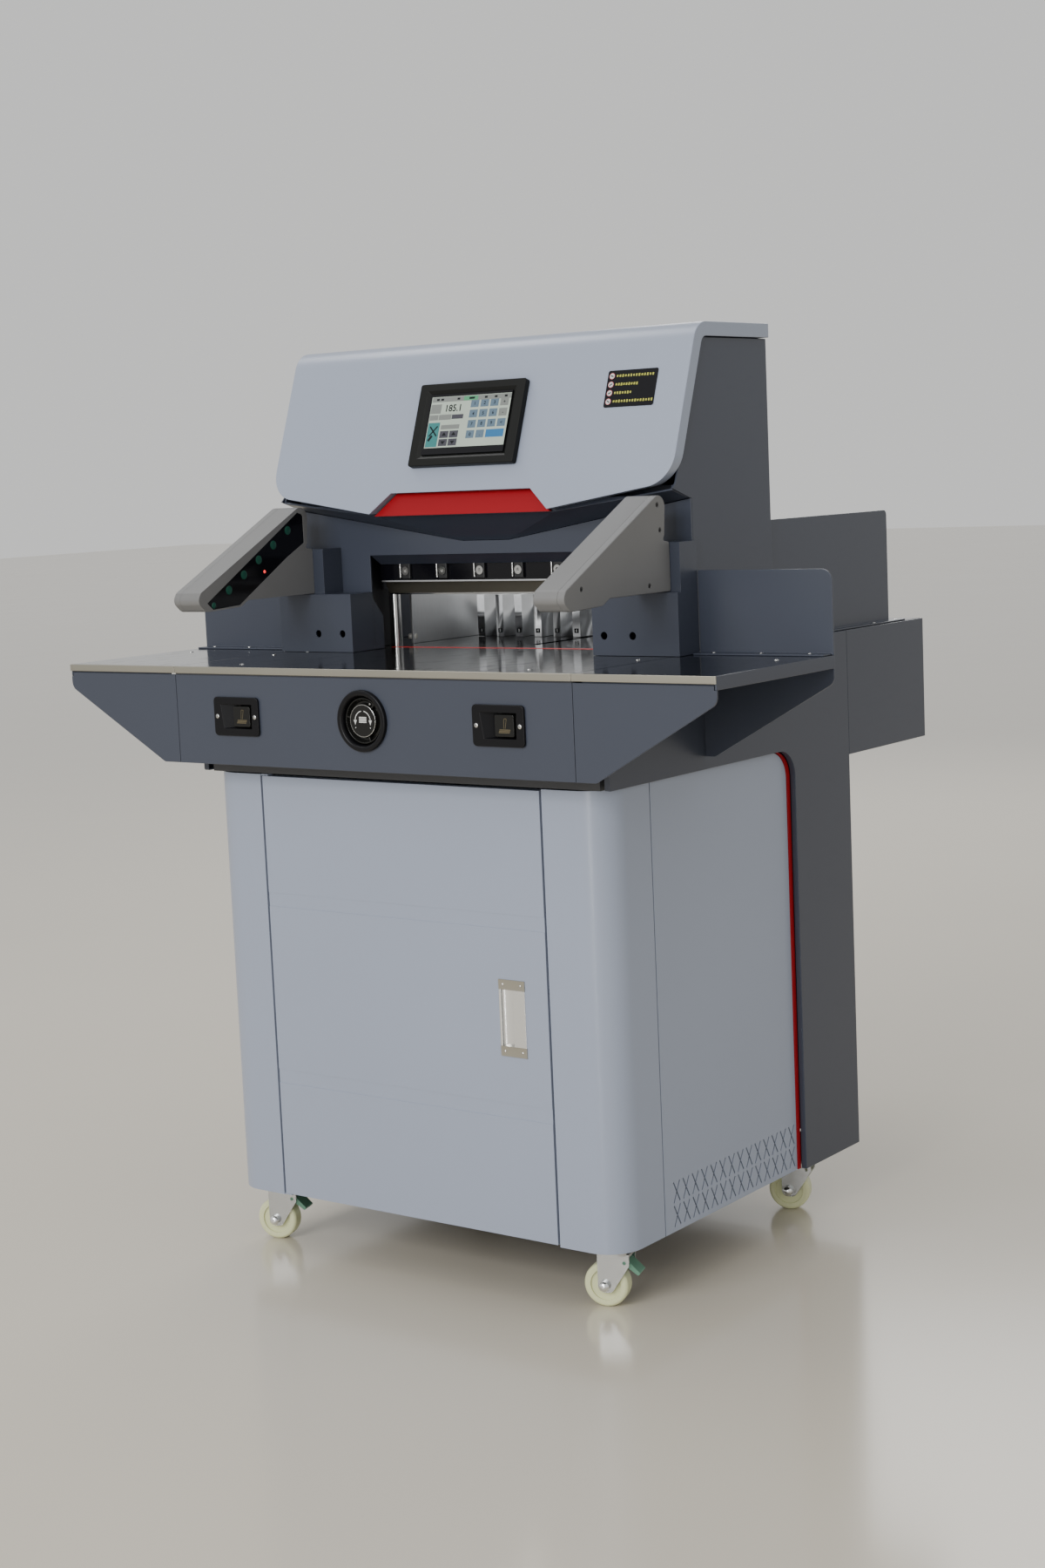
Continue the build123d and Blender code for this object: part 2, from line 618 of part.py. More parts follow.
def caster_fork():
    """Pressed fork with its axle bolt, drawn about the kingpin."""
    gap = WHEEL_WIDTH / 2 + 1.5
    top = along_z(outline([(-22, -gap - 2.5, 4), (24, -gap - 2.5, 4), (24, gap + 2.5, 4),
                           (-22, gap + 2.5, 4)]), (74, 78))
    top -= rod((0, 0, 70), (0, 0, 80), KINGPIN_R + RUNNING)
    leg_face = outline([(-TRAIL - 10, 78), (-TRAIL - 10, 22, 9.5), (-TRAIL + 10, 22, 9.5),
                        (24, 62), (24, 78)])
    legs = [along_y(leg_face, (gap, gap + 2.5)), along_y(leg_face, (-gap - 2.5, -gap))]
    pin_x, pin_z = PEDAL_PIN
    hole = rod((pin_x, -20, pin_z), (pin_x, 20, pin_z), PEDAL_PIN_R + RUNNING)
    fork = top + legs[0] + legs[1] - hole
    reach = gap + 2.5
    axle = rod((-TRAIL, -reach, WHEEL_R), (-TRAIL, reach, WHEEL_R), AXLE_R)
    nuts = [rod((-TRAIL, side * reach, WHEEL_R), (-TRAIL, side * (reach + 5), WHEEL_R), 7.5)
            for side in (-1, 1)]
    return fork + axle + nuts[0] + nuts[1]


def caster_wheel():
    """Nylon wheel with a raised hub, drawn about the kingpin."""
    half = WHEEL_WIDTH / 2
    tyre = fillet(rod((-TRAIL, -half, WHEEL_R), (-TRAIL, half, WHEEL_R), WHEEL_R).edges(), 5)
    for low, high in ((-half - 1, -half + 3), (half - 3, half + 1)):
        ring = rod((-TRAIL, low, WHEEL_R), (-TRAIL, high, WHEEL_R), 22)
        tyre -= ring - rod((-TRAIL, low, WHEEL_R), (-TRAIL, high, WHEEL_R), 12)
    return tyre - rod((-TRAIL, -20, WHEEL_R), (-TRAIL, 20, WHEEL_R), AXLE_R + RUNNING)


def caster_pedal():
    """Brake pedal hung between the fork's legs, drawn about the kingpin."""
    face = outline([(14, 69, 2), (21, 69, 2), (39, 52, 2), (36, 48, 2), (19, 60, 3), (14, 62, 2)])
    pin_x, pin_z = PEDAL_PIN
    barrel = rod((pin_x, -12.5, pin_z), (pin_x, 12.5, pin_z), 4.4)
    pin = rod((pin_x, -15.5, pin_z), (pin_x, 15.5, pin_z), PEDAL_PIN_R)
    return along_y(face, (-12.5, 12.5)) + barrel + pin


def casters():
    """Four swivel casters; the front two have brake pedals."""
    plates = []
    for name, (x, y) in caster_places().items():
        at = Pos(x, y, 0)
        turned = at * Rot(0, 0, CASTER_HEADING)
        plates.append(at * caster_plate())
        save(f"caster_fork_{name}", turned * caster_fork())
        save(f"caster_wheel_{name}", turned * caster_wheel())
        if name.startswith("front"):
            save(f"brake_pedal_{name}", turned * caster_pedal())
    save("caster_plates", *plates)


for build in (stand_frame, machine_bed, corner_panels, side_panels, trim_stripes, side_casings,
              back_panel, mains_inlet, rear_box, hydraulic_unit, door, work_table, cut_stick, apron,
              side_tables, wing_brackets, edge_strips, side_guards, rear_guards, control_housings,
              hand_knob, cut_buttons, front_cover, tower_shell, chin_panel, hood, hood_insert,
              control_panel, curtain_brackets, curtain_arms, side_cheeks, knife, clamp, back_gauge,
              lead_screw, casters):
    build()
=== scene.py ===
# %% [markdown]
# # A programmed paper cutter
# A guillotine cutter for stacks of paper stands on a wheeled steel cabinet. The machine is mostly
# folded and painted sheet, with cast and ground steel where the paper is cut. The exact frame of
# the machine is loaded first and never changes. This lesson gives that frame its paint and
# steel, softens its edges, and adds the small parts that the frame leaves out.

# %% Load the frame
import json
import math
import bmesh
import bpy
from mathutils import Matrix, Vector

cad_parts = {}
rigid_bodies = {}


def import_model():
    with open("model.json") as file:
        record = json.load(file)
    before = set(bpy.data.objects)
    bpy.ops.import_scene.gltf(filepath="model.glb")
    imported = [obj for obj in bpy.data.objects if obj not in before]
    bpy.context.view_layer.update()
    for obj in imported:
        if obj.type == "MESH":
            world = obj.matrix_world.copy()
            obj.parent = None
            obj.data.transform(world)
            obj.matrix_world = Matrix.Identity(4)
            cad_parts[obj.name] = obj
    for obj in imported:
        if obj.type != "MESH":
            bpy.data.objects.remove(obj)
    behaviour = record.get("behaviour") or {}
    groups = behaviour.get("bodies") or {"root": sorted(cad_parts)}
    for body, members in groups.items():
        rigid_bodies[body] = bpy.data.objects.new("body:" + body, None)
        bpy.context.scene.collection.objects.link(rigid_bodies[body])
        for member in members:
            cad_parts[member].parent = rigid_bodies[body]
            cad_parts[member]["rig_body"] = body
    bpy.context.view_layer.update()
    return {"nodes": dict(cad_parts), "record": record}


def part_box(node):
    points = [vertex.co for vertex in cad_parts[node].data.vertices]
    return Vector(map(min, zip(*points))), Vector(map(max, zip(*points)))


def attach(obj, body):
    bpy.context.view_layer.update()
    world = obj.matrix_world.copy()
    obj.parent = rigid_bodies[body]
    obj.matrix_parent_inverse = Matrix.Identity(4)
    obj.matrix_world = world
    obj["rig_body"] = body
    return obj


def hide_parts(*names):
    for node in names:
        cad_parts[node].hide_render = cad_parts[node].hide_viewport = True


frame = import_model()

nodes = frame["nodes"]

# %% [markdown]
# ## Places
# Most sizes are easiest to read in millimetres, measured back from the front sheet of the machine
# and up from the floor. One function turns such a place into the frame's metres.

# %% Millimetres from the front sheet and the floor
MM = 0.001
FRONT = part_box("apron")[0].y


def at(x, y, z):
    """Point in the frame from millimetres: across, back from the front sheet, up from the floor."""
    return Vector((x * MM, FRONT + y * MM, z * MM))


def axes(origin, across, up):
    """Matrix of a work plane: its X runs across, its Y runs up, and its Z stands out of it."""
    across, up = Vector(across).normalized(), Vector(up).normalized()
    plane = Matrix((across, up, across.cross(up))).transposed().to_4x4()
    plane.translation = origin
    return plane


print("front sheet at y =", round(FRONT, 4))

# %% [markdown]
# ## Camera, floor and light
# The machine is seen from its right front, a little above table height, with a long lens. Soft
# lights stand where large lamps would: one broad light over the front, one at the right and one
# behind. A pale floor with a little gloss carries the reflection of the wheels.

# %% Camera
AZIMUTH, ELEVATION, ROLL = (math.radians(angle) for angle in (36.80632, 7.45551, -2.51686))
back = Vector((math.sin(AZIMUTH) * math.cos(ELEVATION), -math.cos(AZIMUTH) * math.cos(ELEVATION),
               math.sin(ELEVATION)))
level = Vector((math.cos(AZIMUTH), math.sin(AZIMUTH), 0))
upright = back.cross(level)
right = level * math.cos(ROLL) + upright * math.sin(ROLL)
upward = upright * math.cos(ROLL) - level * math.sin(ROLL)
bpy.ops.object.camera_add()
camera = bpy.context.object
camera.name = "camera"
camera.data.lens = 55.351
camera.data.sensor_width = 36.0
camera.matrix_world = Matrix((right, upward, back)).transposed().to_4x4()
camera.matrix_world.translation = at(2154.868, -2519.649, 1154.528)
bpy.context.scene.camera = camera
print("camera", [round(value, 3) for value in camera.matrix_world.translation])

# %% Floor and lights
bpy.ops.mesh.primitive_plane_add(size=60, location=(0, 0, 0))
floor = bpy.context.object
floor.name = "floor"


def softbox(name, place, aim, size, power, tint=(1, 1, 1)):
    """Square area light at a place, aimed at a point."""
    bpy.ops.object.light_add(type="AREA", location=place)
    lamp = bpy.context.object
    lamp.name = name
    lamp.data.shape = "RECTANGLE"
    lamp.data.size, lamp.data.size_y = size
    lamp.data.energy = power
    lamp.data.color = tint
    lamp.rotation_euler = (Vector(aim) - Vector(place)).to_track_quat("-Z", "Y").to_euler()
    return lamp


softbox("light_front", (-0.1, -5.4, 3.0), (0, 0, 0.8), (3.0, 1.8), 165)
softbox("light_low", (1.5, -4.4, 1.0), (0.2, -0.2, 0.9), (0.3, 2.0), 34)
softbox("light_top", (-2.3, -0.2, 4.4), (0, -0.2, 1.2), (1.8, 1.0), 40)
softbox("light_rear", (-1.5, 4.6, 3.2), (0, 0, 0.9), (3.0, 2.4), 70)
world = bpy.data.worlds.new("studio")
bpy.context.scene.world = world
world.use_nodes = True
world.node_tree.nodes["Background"].inputs["Color"].default_value = (0.83, 0.83, 0.82, 1)
world.node_tree.nodes["Background"].inputs["Strength"].default_value = 0.9

# %% [markdown]
# ## Finishes
# A finish is a small network of shader nodes. Writing it with operators keeps it readable: a Wire
# is the output of a node, and arithmetic on wires adds the Math nodes. Colours never pass through
# a Math node, which would turn them grey, so they go through a Mix node.


# %% Wires and finishes
class Wire:
    """Output socket of a node; arithmetic with numbers or wires adds Math nodes."""

    def __init__(self, finish, socket):
        self.finish, self.socket = finish, socket

    def _join(self, operation, first, second):
        return self.finish.node("ShaderNodeMath", {"operation": operation}, {0: first, 1: second})

    def __add__(self, other):
        return self._join("ADD", self, other)

    def __radd__(self, other):
        return self._join("ADD", other, self)

    def __sub__(self, other):
        return self._join("SUBTRACT", self, other)

    def __rsub__(self, other):
        return self._join("SUBTRACT", other, self)

    def __mul__(self, other):
        return self._join("MULTIPLY", self, other)

    def __rmul__(self, other):
        return self._join("MULTIPLY", other, self)


class Finish:
    """A material and its Principled shader; every pattern is placed by Object coordinates."""

    def __init__(self, name, metallic=0.0, specular=0.5):
        self.material = bpy.data.materials.new(name)
        self.material.use_nodes = True
        self.tree = self.material.node_tree
        self.shader = self.tree.nodes["Principled BSDF"]
        self.shader.inputs["Metallic"].default_value = metallic
        self.shader.inputs["Specular IOR Level"].default_value = specular

    def node(self, kind, settings=None, values=None, output=0):
        """Add a node, set its settings, then feed its sockets with numbers, colours or wires."""
        made = self.tree.nodes.new(kind)
        for key, value in (settings or {}).items():
            if key == "stops":
                for stop, (position, colour) in zip(made.color_ramp.elements, value):
                    stop.position, stop.color = position, colour
            else:
                setattr(made, key, value)
        for key, value in (values or {}).items():
            if isinstance(value, Wire):
                self.tree.links.new(value.socket, made.inputs[key])
            else:
                made.inputs[key].default_value = value
        return Wire(self, made.outputs[output])

    def space(self, stretch=(1, 1, 1)):
        """Object coordinates, stretched along the axes."""
        place = self.node("ShaderNodeTexCoord", output="Object")
        return self.node("ShaderNodeMapping", values={"Vector": place, "Scale": stretch})

    def noise(self, scale, detail=3.0, stretch=(1, 1, 1), roughness=0.5):
        """Cloudy pattern between 0 and 1 with features about 1/scale metres wide."""
        values = {"Vector": self.space(stretch), "Scale": scale, "Detail": detail,
                  "Roughness": roughness}
        return self.node("ShaderNodeTexNoise", values=values, output="Fac")

    def cells(self, scale):
        """Distance to the nearest of many scattered points, for grains and specks."""
        values = {"Vector": self.space(), "Scale": scale}
        return self.node("ShaderNodeTexVoronoi", values=values, output="Distance")

    def steps(self, wire, low, high):
        """The wire's values between low and high, stretched to 0 and 1 and clamped."""
        settings = {"stops": ((low, (0, 0, 0, 1)), (high, (1, 1, 1, 1)))}
        return self.node("ShaderNodeValToRGB", settings, {"Fac": wire})

    def blend(self, first, second, share):
        """Colour between two colours."""
        return self.node("ShaderNodeMix", {"data_type": "RGBA"},
                         {0: share, 6: colour4(first), 7: colour4(second)}, output=2)

    def feed(self, **wires):
        """Link wires to the shader's colour, roughness or glow."""
        names = {"colour": "Base Color", "rough": "Roughness", "glow": "Emission Color"}
        for key, wire in wires.items():
            self.tree.links.new(wire.socket, self.shader.inputs[names[key]])

    def bump(self, height, strength, depth):
        """Relief of a given depth in metres from a height pattern."""
        relief = self.node("ShaderNodeBump", values={
            "Height": height, "Strength": strength, "Distance": depth}, output="Normal")
        self.tree.links.new(relief.socket, self.shader.inputs["Normal"])
        return self


def colour4(colour):
    """A colour with its alpha, or a wire as it is."""
    return colour if isinstance(colour, Wire) else (*colour[:3], 1.0)


def shade(colour, factor):
    """The same colour, darker or lighter."""
    return tuple(min(1.0, part * factor) for part in colour)


print("finish tools ready")

# %% [markdown]
# ### Paint on folded sheet
# Baked powder paint isn't perfectly flat. It has a fine orange-peel skin, slow clouds of slightly
# different gloss where the gun passed, and a few specks of dust. Those three patterns feed the
# relief, the roughness and the colour.


# %% Paint
def paint(name, colour, gloss=0.34, peel=0.5, specular=0.5):
    """Powder paint: clouds in colour and gloss, dust specks and an orange-peel skin."""
    finish = Finish(name, specular=specular)
    clouds = finish.noise(2.2, 4.0)
    scuffs = finish.steps(finish.noise(34, 6.0, (1, 1, 3.5), 0.62), 0.54, 0.78)
    specks = finish.steps(finish.cells(420), 0.05, 0.11)
    base = finish.blend(shade(colour, 0.955), shade(colour, 1.045), clouds)
    dusty = finish.blend(shade(colour, 1.3), base, 0.9 + specks * 0.1)
    skin = finish.noise(760, 2.0)
    finish.feed(colour=dusty, rough=gloss - 0.03 + clouds * 0.06 + scuffs * 0.05)
    return finish.bump(skin, peel, 0.00005).material


PALE = (0.318, 0.358, 0.45)
DARK = (0.045, 0.053, 0.076)
finishes = {
    "pale_paint": paint("pale_paint", PALE, 0.3),
    "dark_paint": paint("dark_paint", DARK, 0.33),
    "red_paint": paint("red_paint", (0.3, 0.004, 0.01), 0.36, specular=0.2),
    "frame_paint": paint("frame_paint", (0.016, 0.0165, 0.018), 0.4),
    "bed_casting": paint("bed_casting", (0.05, 0.052, 0.058), 0.5, 0.9),
}
print("paints:", ", ".join(finishes))

# %% [markdown]
# ### Metals
# The table is dark ground steel under a thin film of oil, polished by paper, so it is nearly a
# mirror with fine marks along the grain. The strips are brushed aluminium, the blade is ground
# across its width, and zinc plate has a mottled, slightly blue shine.


# %% Metals
def metal(name, colour, rough, grain, scale, spread=0.12, marks=0.0, relief=0.3, tint=1.12):
    """Bare metal with grain stretched along one axis, and fine random marks."""
    finish = Finish(name, metallic=1.0)
    lines = finish.noise(scale, 3.0, grain, 0.6)
    clouds = finish.noise(6.0, 3.0)
    wipes = finish.steps(finish.noise(26, 5.0, (1.6, 0.7, 1), 0.65), 0.5, 0.8)
    base = finish.blend(shade(colour, 2 - tint), shade(colour, tint), clouds)
    finish.feed(colour=finish.blend(base, shade(colour, 0.86), lines * 0.5),
                rough=rough - spread * 0.3 + lines * spread + wipes * marks)
    return finish.bump(lines, relief, 0.00002).material


finishes.update({
    "table_steel": metal("table_steel", (0.125, 0.125, 0.132), 0.1, (1, 18, 1), 60, 0.07, 0.1, 0.12),
    "strip_metal": metal("strip_metal", (0.47, 0.45, 0.385), 0.3, (0.5, 6, 9), 120, 0.14),
    "blade_steel": metal("blade_steel", (0.5, 0.47, 0.37), 0.36, (12, 1, 0.6), 90, 0.12),
    "bright_steel": metal("bright_steel", (0.62, 0.62, 0.61), 0.14, (1, 1, 6), 80, 0.1),
    "handle_chrome": metal("handle_chrome", (0.88, 0.89, 0.9), 0.2, (4, 4, 0.4), 60, 0.06, 0.05),
    "gauge_metal": metal("gauge_metal", (0.68, 0.69, 0.7), 0.42, (5, 5, 0.5), 70, 0.14),
    "caster_zinc": metal("caster_zinc", (0.58, 0.59, 0.59), 0.22, (1, 1, 2), 22, 0.1, 0.04, 0.2, 1.1),
})
print("metals:", len(finishes))

# %% [markdown]
# ### Plastics
# Moulded plastic has a spark-eroded grain, like fine leather. Polished plastic has none, only
# faint flow clouds and a clear gloss.


# %% Plastics
def plastic(name, colour, rough, grain=0.0, specks=900, glow=0.0, specular=0.5):
    """Moulded plastic with a grained or polished skin; glow lights a display."""
    finish = Finish(name, specular=specular)
    clouds = finish.noise(14, 3.0)
    pits = finish.cells(specks)
    base = finish.blend(shade(colour, 0.93), shade(colour, 1.07), clouds)
    finish.feed(colour=base, rough=rough - 0.02 + clouds * 0.05 + pits * (0.06 if grain else 0.01))
    if glow:
        finish.feed(glow=base)
        finish.shader.inputs["Emission Strength"].default_value = glow
    return finish.bump(pits, 0.15 + grain, 0.00004 if grain else 0.00001).material


finishes.update({
    "black_plastic": plastic("black_plastic", (0.006, 0.006, 0.0075), 0.26, 0.3, specular=0.2),
    "bezel_plastic": plastic("bezel_plastic", (0.006, 0.0065, 0.006), 0.42, 0.4, specular=0.2),
    "arm_plastic": plastic("arm_plastic", (0.17, 0.17, 0.17), 0.44, 0.5),
    "black_gloss": plastic("black_gloss", (0.004, 0.004, 0.006), 0.1, specular=0.3),
    "button_plastic": plastic("button_plastic", (0.01, 0.01, 0.0095), 0.14, specular=0.3),
    "stick_plastic": plastic("stick_plastic", (0.72, 0.02, 0.02), 0.4, specular=0.2),
    "caster_nylon": plastic("caster_nylon", (0.68, 0.7, 0.42), 0.26, 0.1, 500),
    "pedal_plastic": plastic("pedal_plastic", (0.11, 0.25, 0.17), 0.34, 0.2),
    "white_nylon": plastic("white_nylon", (0.62, 0.61, 0.56), 0.35, 0.2),
    "lens_green": plastic("lens_green", (0.014, 0.075, 0.052), 0.08, specular=0.4),
    "lamp_red": plastic("lamp_red", (0.7, 0.03, 0.03), 0.2, glow=2.2),
    "print_white": plastic("print_white", (0.62, 0.63, 0.62), 0.4),
    "print_yellow": plastic("print_yellow", (0.42, 0.42, 0.06), 0.45),
    "print_gold": plastic("print_gold", (0.11, 0.088, 0.045), 0.4),
    "print_red": plastic("print_red", (0.48, 0.05, 0.07), 0.45),
    "print_dark": plastic("print_dark", (0.012, 0.014, 0.016), 0.5, specular=0.1),
    "screen": plastic("screen", (0.4, 0.46, 0.4), 0.2, specular=0.1, glow=0.1),
    "screen_grey": plastic("screen_grey", (0.2, 0.215, 0.205), 0.2, specular=0.1, glow=0.08),
    "screen_key": plastic("screen_key", (0.115, 0.17, 0.225), 0.2, specular=0.1, glow=0.08),
    "screen_blue": plastic("screen_blue", (0.045, 0.16, 0.33), 0.2, specular=0.1, glow=0.1),
    "screen_teal": plastic("screen_teal", (0.055, 0.2, 0.2), 0.2, specular=0.1, glow=0.08),
    "screen_green": plastic("screen_green", (0.09, 0.3, 0.16), 0.2, specular=0.1, glow=0.1),
    "screen_slate": plastic("screen_slate", (0.07, 0.07, 0.085), 0.2, specular=0.1, glow=0.04),
})
stage_floor = Finish("stage_floor")
clouds = stage_floor.noise(0.9, 4.0)
stage_floor.feed(colour=stage_floor.blend((0.58, 0.53, 0.44), (0.62, 0.57, 0.48), clouds),
                 rough=0.14 + clouds * 0.05)
stage_floor.bump(stage_floor.noise(6, 2.0), 0.05, 0.0006)
floor.data.materials.append(stage_floor.material)
print("all finishes:", len(finishes))

# %% [markdown]
# ## Modelling tools
# Each tool does one thing that a modeller does by hand: select, add a block or a disc, draw an
# outline and raise it, turn a profile on a lathe, round the edges, and hand the piece over to the
# body it moves with.


# %% Selecting
def clear_selection():
    """Nothing selected, so that a new primitive is edited alone."""
    for other in bpy.context.selected_objects:
        other.select_set(False)


def only(obj):
    """Select one object alone and make it active."""
    clear_selection()
    obj.select_set(True)
    bpy.context.view_layer.objects.active = obj
    return obj


def fresh(name):
    """Name the object that an operator has just added, with its place put into its mesh."""
    obj = only(bpy.context.object)
    obj.name = obj.data.name = name
    bpy.ops.object.transform_apply(location=True, rotation=True, scale=True)
    return obj


def edit(obj, kind="FACE"):
    """Enter edit mode with nothing selected."""
    only(obj)
    bpy.ops.object.mode_set(mode="EDIT")
    bpy.ops.mesh.select_mode(type=kind)
    bpy.ops.mesh.select_all(action="DESELECT")


def pick(obj, test):
    """Select the faces whose centre and normal pass a test, and count them."""
    shape = bmesh.from_edit_mesh(obj.data)
    chosen = [face for face in shape.faces if test(face.calc_center_median(), face.normal)]
    for face in chosen:
        face.select_set(True)
    bmesh.update_edit_mesh(obj.data)
    return len(chosen)


def leave():
    """Back to object mode."""
    bpy.ops.object.mode_set(mode="OBJECT")


def modify(obj, kind, **settings):
    """Add a modifier, set it and apply it."""
    only(obj)
    modifier = obj.modifiers.new("step", kind)
    for key, value in settings.items():
        setattr(modifier, key, value)
    bpy.ops.object.modifier_apply(modifier=modifier.name)
    return obj


def rounded(obj, width, segments=2, angle=30):
    """Round the edges that are sharper than an angle; the width is in millimetres."""
    return modify(obj, "BEVEL", width=width * MM, segments=segments, limit_method="ANGLE",
                  angle_limit=math.radians(angle), miter_outer="MITER_ARC")


def shaded(obj, angle=40):
    """Smooth shading across rounded edges, with the flats kept flat."""
    only(obj)
    bpy.ops.object.shade_smooth_by_angle(angle=math.radians(angle))
    return modify(obj, "WEIGHTED_NORMAL", keep_sharp=True)


def finished(obj, finish, body):
    """Give a piece its finish and the body it rides on."""
    obj.data.materials.clear()
    obj.data.materials.append(finishes[finish])
    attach(obj, body)
    return obj


print("selection tools ready")


# %% Primitives shaped into parts
def block(name, low, high):
    """Rectangular block between two corners, as (x, y, z) millimetres."""
    low, high = at(*low), at(*high)
    clear_selection()
    bpy.ops.mesh.primitive_cube_add(size=1, location=(low + high) / 2)
    bpy.context.object.scale = high - low
    return fresh(name)


def plate(name, points, plane, depth):
    """Outline in millimetres on a work plane, filled and raised by a depth along the plane's Z."""
    clear_selection()
    bpy.ops.mesh.primitive_circle_add(vertices=len(points), radius=0.01, fill_type="NGON")
    obj = fresh(name)
    for corner, point in zip(obj.data.vertices, points):
        corner.co = plane @ Vector((point[0] * MM, point[1] * MM, 0))
    edit(obj)
    bpy.ops.mesh.select_all(action="SELECT")
    rise = plane.to_3x3() @ Vector((0, 0, depth * MM))
    bpy.ops.mesh.extrude_region_move(TRANSFORM_OT_translate={"value": rise})
    bpy.ops.mesh.select_all(action="SELECT")
    bpy.ops.mesh.normals_make_consistent(inside=False)
    leave()
    return obj


def lathe(name, profile, centre, axis, steps=64):
    """Turned part: a profile of (radius, distance along the axis) millimetres, spun round."""
    axis = Vector(axis).normalized()
    side = axis.orthogonal().normalized()
    spots = [centre + side * radius * MM + axis * along * MM for radius, along in profile]
    clear_selection()
    bpy.ops.mesh.primitive_plane_add(size=MM, location=spots[0])
    obj = fresh(name)
    edit(obj, "VERT")
    bpy.ops.mesh.select_all(action="SELECT")
    bpy.ops.mesh.merge(type="CENTER")
    for here, there in zip(spots, spots[1:]):
        bpy.ops.mesh.extrude_region_move(TRANSFORM_OT_translate={"value": there - here})
    bpy.ops.mesh.select_all(action="SELECT")
    bpy.ops.mesh.spin(steps=steps, angle=math.tau, center=centre, axis=axis)
    bpy.ops.mesh.select_all(action="SELECT")
    bpy.ops.mesh.remove_doubles(threshold=2e-6)
    bpy.ops.mesh.normals_make_consistent(inside=False)
    leave()
    return obj


def soft_rectangle(width, height, radius, steps=5):
    """Outline of a rectangle with round corners."""
    points = []
    for number, (right_side, top_side) in enumerate(((1, 1), (-1, 1), (-1, -1), (1, -1))):
        corner = (right_side * (width / 2 - radius), top_side * (height / 2 - radius))
        for step in range(steps + 1):
            turn = math.radians(90 * number + 90 * step / steps)
            points.append((corner[0] + radius * math.cos(turn),
                           corner[1] + radius * math.sin(turn)))
    return points


def joined(name, pieces):
    """Several meshes as one piece."""
    only(pieces[0])
    for piece in pieces[1:]:
        piece.select_set(True)
    bpy.ops.object.join()
    pieces[0].name = pieces[0].data.name = name
    return pieces[0]


def copied(obj, name, shift):
    """Copy with its own mesh, moved by a shift in millimetres."""
    other = obj.copy()
    other.data = obj.data.copy()
    bpy.context.scene.collection.objects.link(other)
    other.name = other.data.name = name
    other.data.transform(Matrix.Translation(Vector(shift) * MM))
    return other


def carved(obj, *cutters):
    """Cut shapes out of a piece and throw the cutters away."""
    for cutter in cutters:
        modify(obj, "BOOLEAN", object=cutter, operation="DIFFERENCE", solver="EXACT")
        bpy.data.objects.remove(cutter)
    return obj


print("shaping tools ready")

# %% [markdown]
# ## Softened sheet
# A folded or moulded edge is never knife sharp, and its round catches a line of light. A copy of
# the frame's exact solid is merged into one skin, its flat triangles are dissolved, and a bevel
# rounds every sharp edge. The frame's own solid stays underneath, hidden.

# %% Rounded copies of the frame's nodes
slot_of = {part["node"]: part["material_slot"] for part in frame["record"]["subparts"]}
body_of = {name: obj["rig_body"] for name, obj in nodes.items()}


def merged_copy(node, name):
    """Copy of a node's mesh as one skin, with its flat triangles dissolved."""
    piece = bpy.data.objects.new(name, nodes[node].data.copy())
    bpy.context.scene.collection.objects.link(piece)
    edit(piece, "VERT")
    bpy.ops.mesh.select_all(action="SELECT")
    bpy.ops.mesh.remove_doubles(threshold=1e-5)
    bpy.ops.mesh.dissolve_limited(angle_limit=math.radians(0.6))
    leave()
    return piece


def softened(node, width, segments=2):
    """Copy of a node with rounded edges, standing for the node; the width is in millimetres."""
    piece = shaded(rounded(merged_copy(node, node + "_skin"), width, segments))
    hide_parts(node)
    return finished(piece, slot_of[node], body_of[node])


SOFT = {
    "hood": (1.1, 3), "chin_panel": (0.7, 2), "hood_insert": (0.4, 2), "front_cover": (0.6, 2),
    "tower_shell": (0.8, 2), "curtain_brackets": (0.8, 2), "side_guards": (0.8, 2),
    "rear_guards": (0.8, 2), "side_table_left": (0.8, 2), "side_table_right": (0.8, 2),
    "apron": (0.8, 2), "wing_brackets": (0.6, 2), "edge_strips": (0.6, 2),
    "side_casing_left": (0.8, 2), "side_casing_right": (0.8, 2), "corner_panels": (0.7, 2),
    "trim_stripes": (0.4, 2), "rear_box": (0.8, 2), "door_panel": (0.35, 2),
    "knife_beam": (1.0, 2), "clamp_beam": (1.5, 2), "back_gauge": (0.5, 2), "side_cheeks": (0.8, 2),
    "back_panel": (0.6, 2), "mains_inlet": (0.5, 2), "machine_bed": (1.2, 2),
    "stand_frame": (1.0, 2), "hydraulic_unit": (2.0, 3), "data_plate": (0.25, 2),
    "caster_plates": (0.5, 2), "brake_pedal_front_left": (0.9, 3),
    "brake_pedal_front_right": (0.9, 3),
}
for corner in ("front_left", "front_right", "rear_left", "rear_right"):
    SOFT["caster_fork_" + corner] = (0.5, 2)
    SOFT["caster_wheel_" + corner] = (0.5, 2)
skins = {node: softened(node, *size) for node, size in SOFT.items()}
finished(skins["knife_beam"], "black_gloss", "knife")
for side in ("left", "right"):
    table = skins["side_table_" + side]
    table.data.materials.append(finishes["dark_paint"])
    for face in table.data.polygons:
        if face.normal.z < 0.7:
            face.material_index = 1
print("softened nodes:", len(skins), "with",
      sum(len(skin.data.polygons) for skin in skins.values()), "faces")

# %% Finishes of the nodes that keep their exact shape
for node, obj in nodes.items():
    if node not in SOFT:
        obj.data.materials.clear()
        obj.data.materials.append(finishes[slot_of[node]])
print("bare nodes:", sorted(set(nodes) - set(SOFT)))

# %% [markdown]
# ## Light-curtain arms
# The arms are moulded in two shells that meet at a seam, a quarter of the way in from the outer
# side. The seam is cut as a narrow groove: two bisecting planes mark a thin band round the arm,
# and the band is extruded inwards. Each shell is held by four small screws in round recesses.

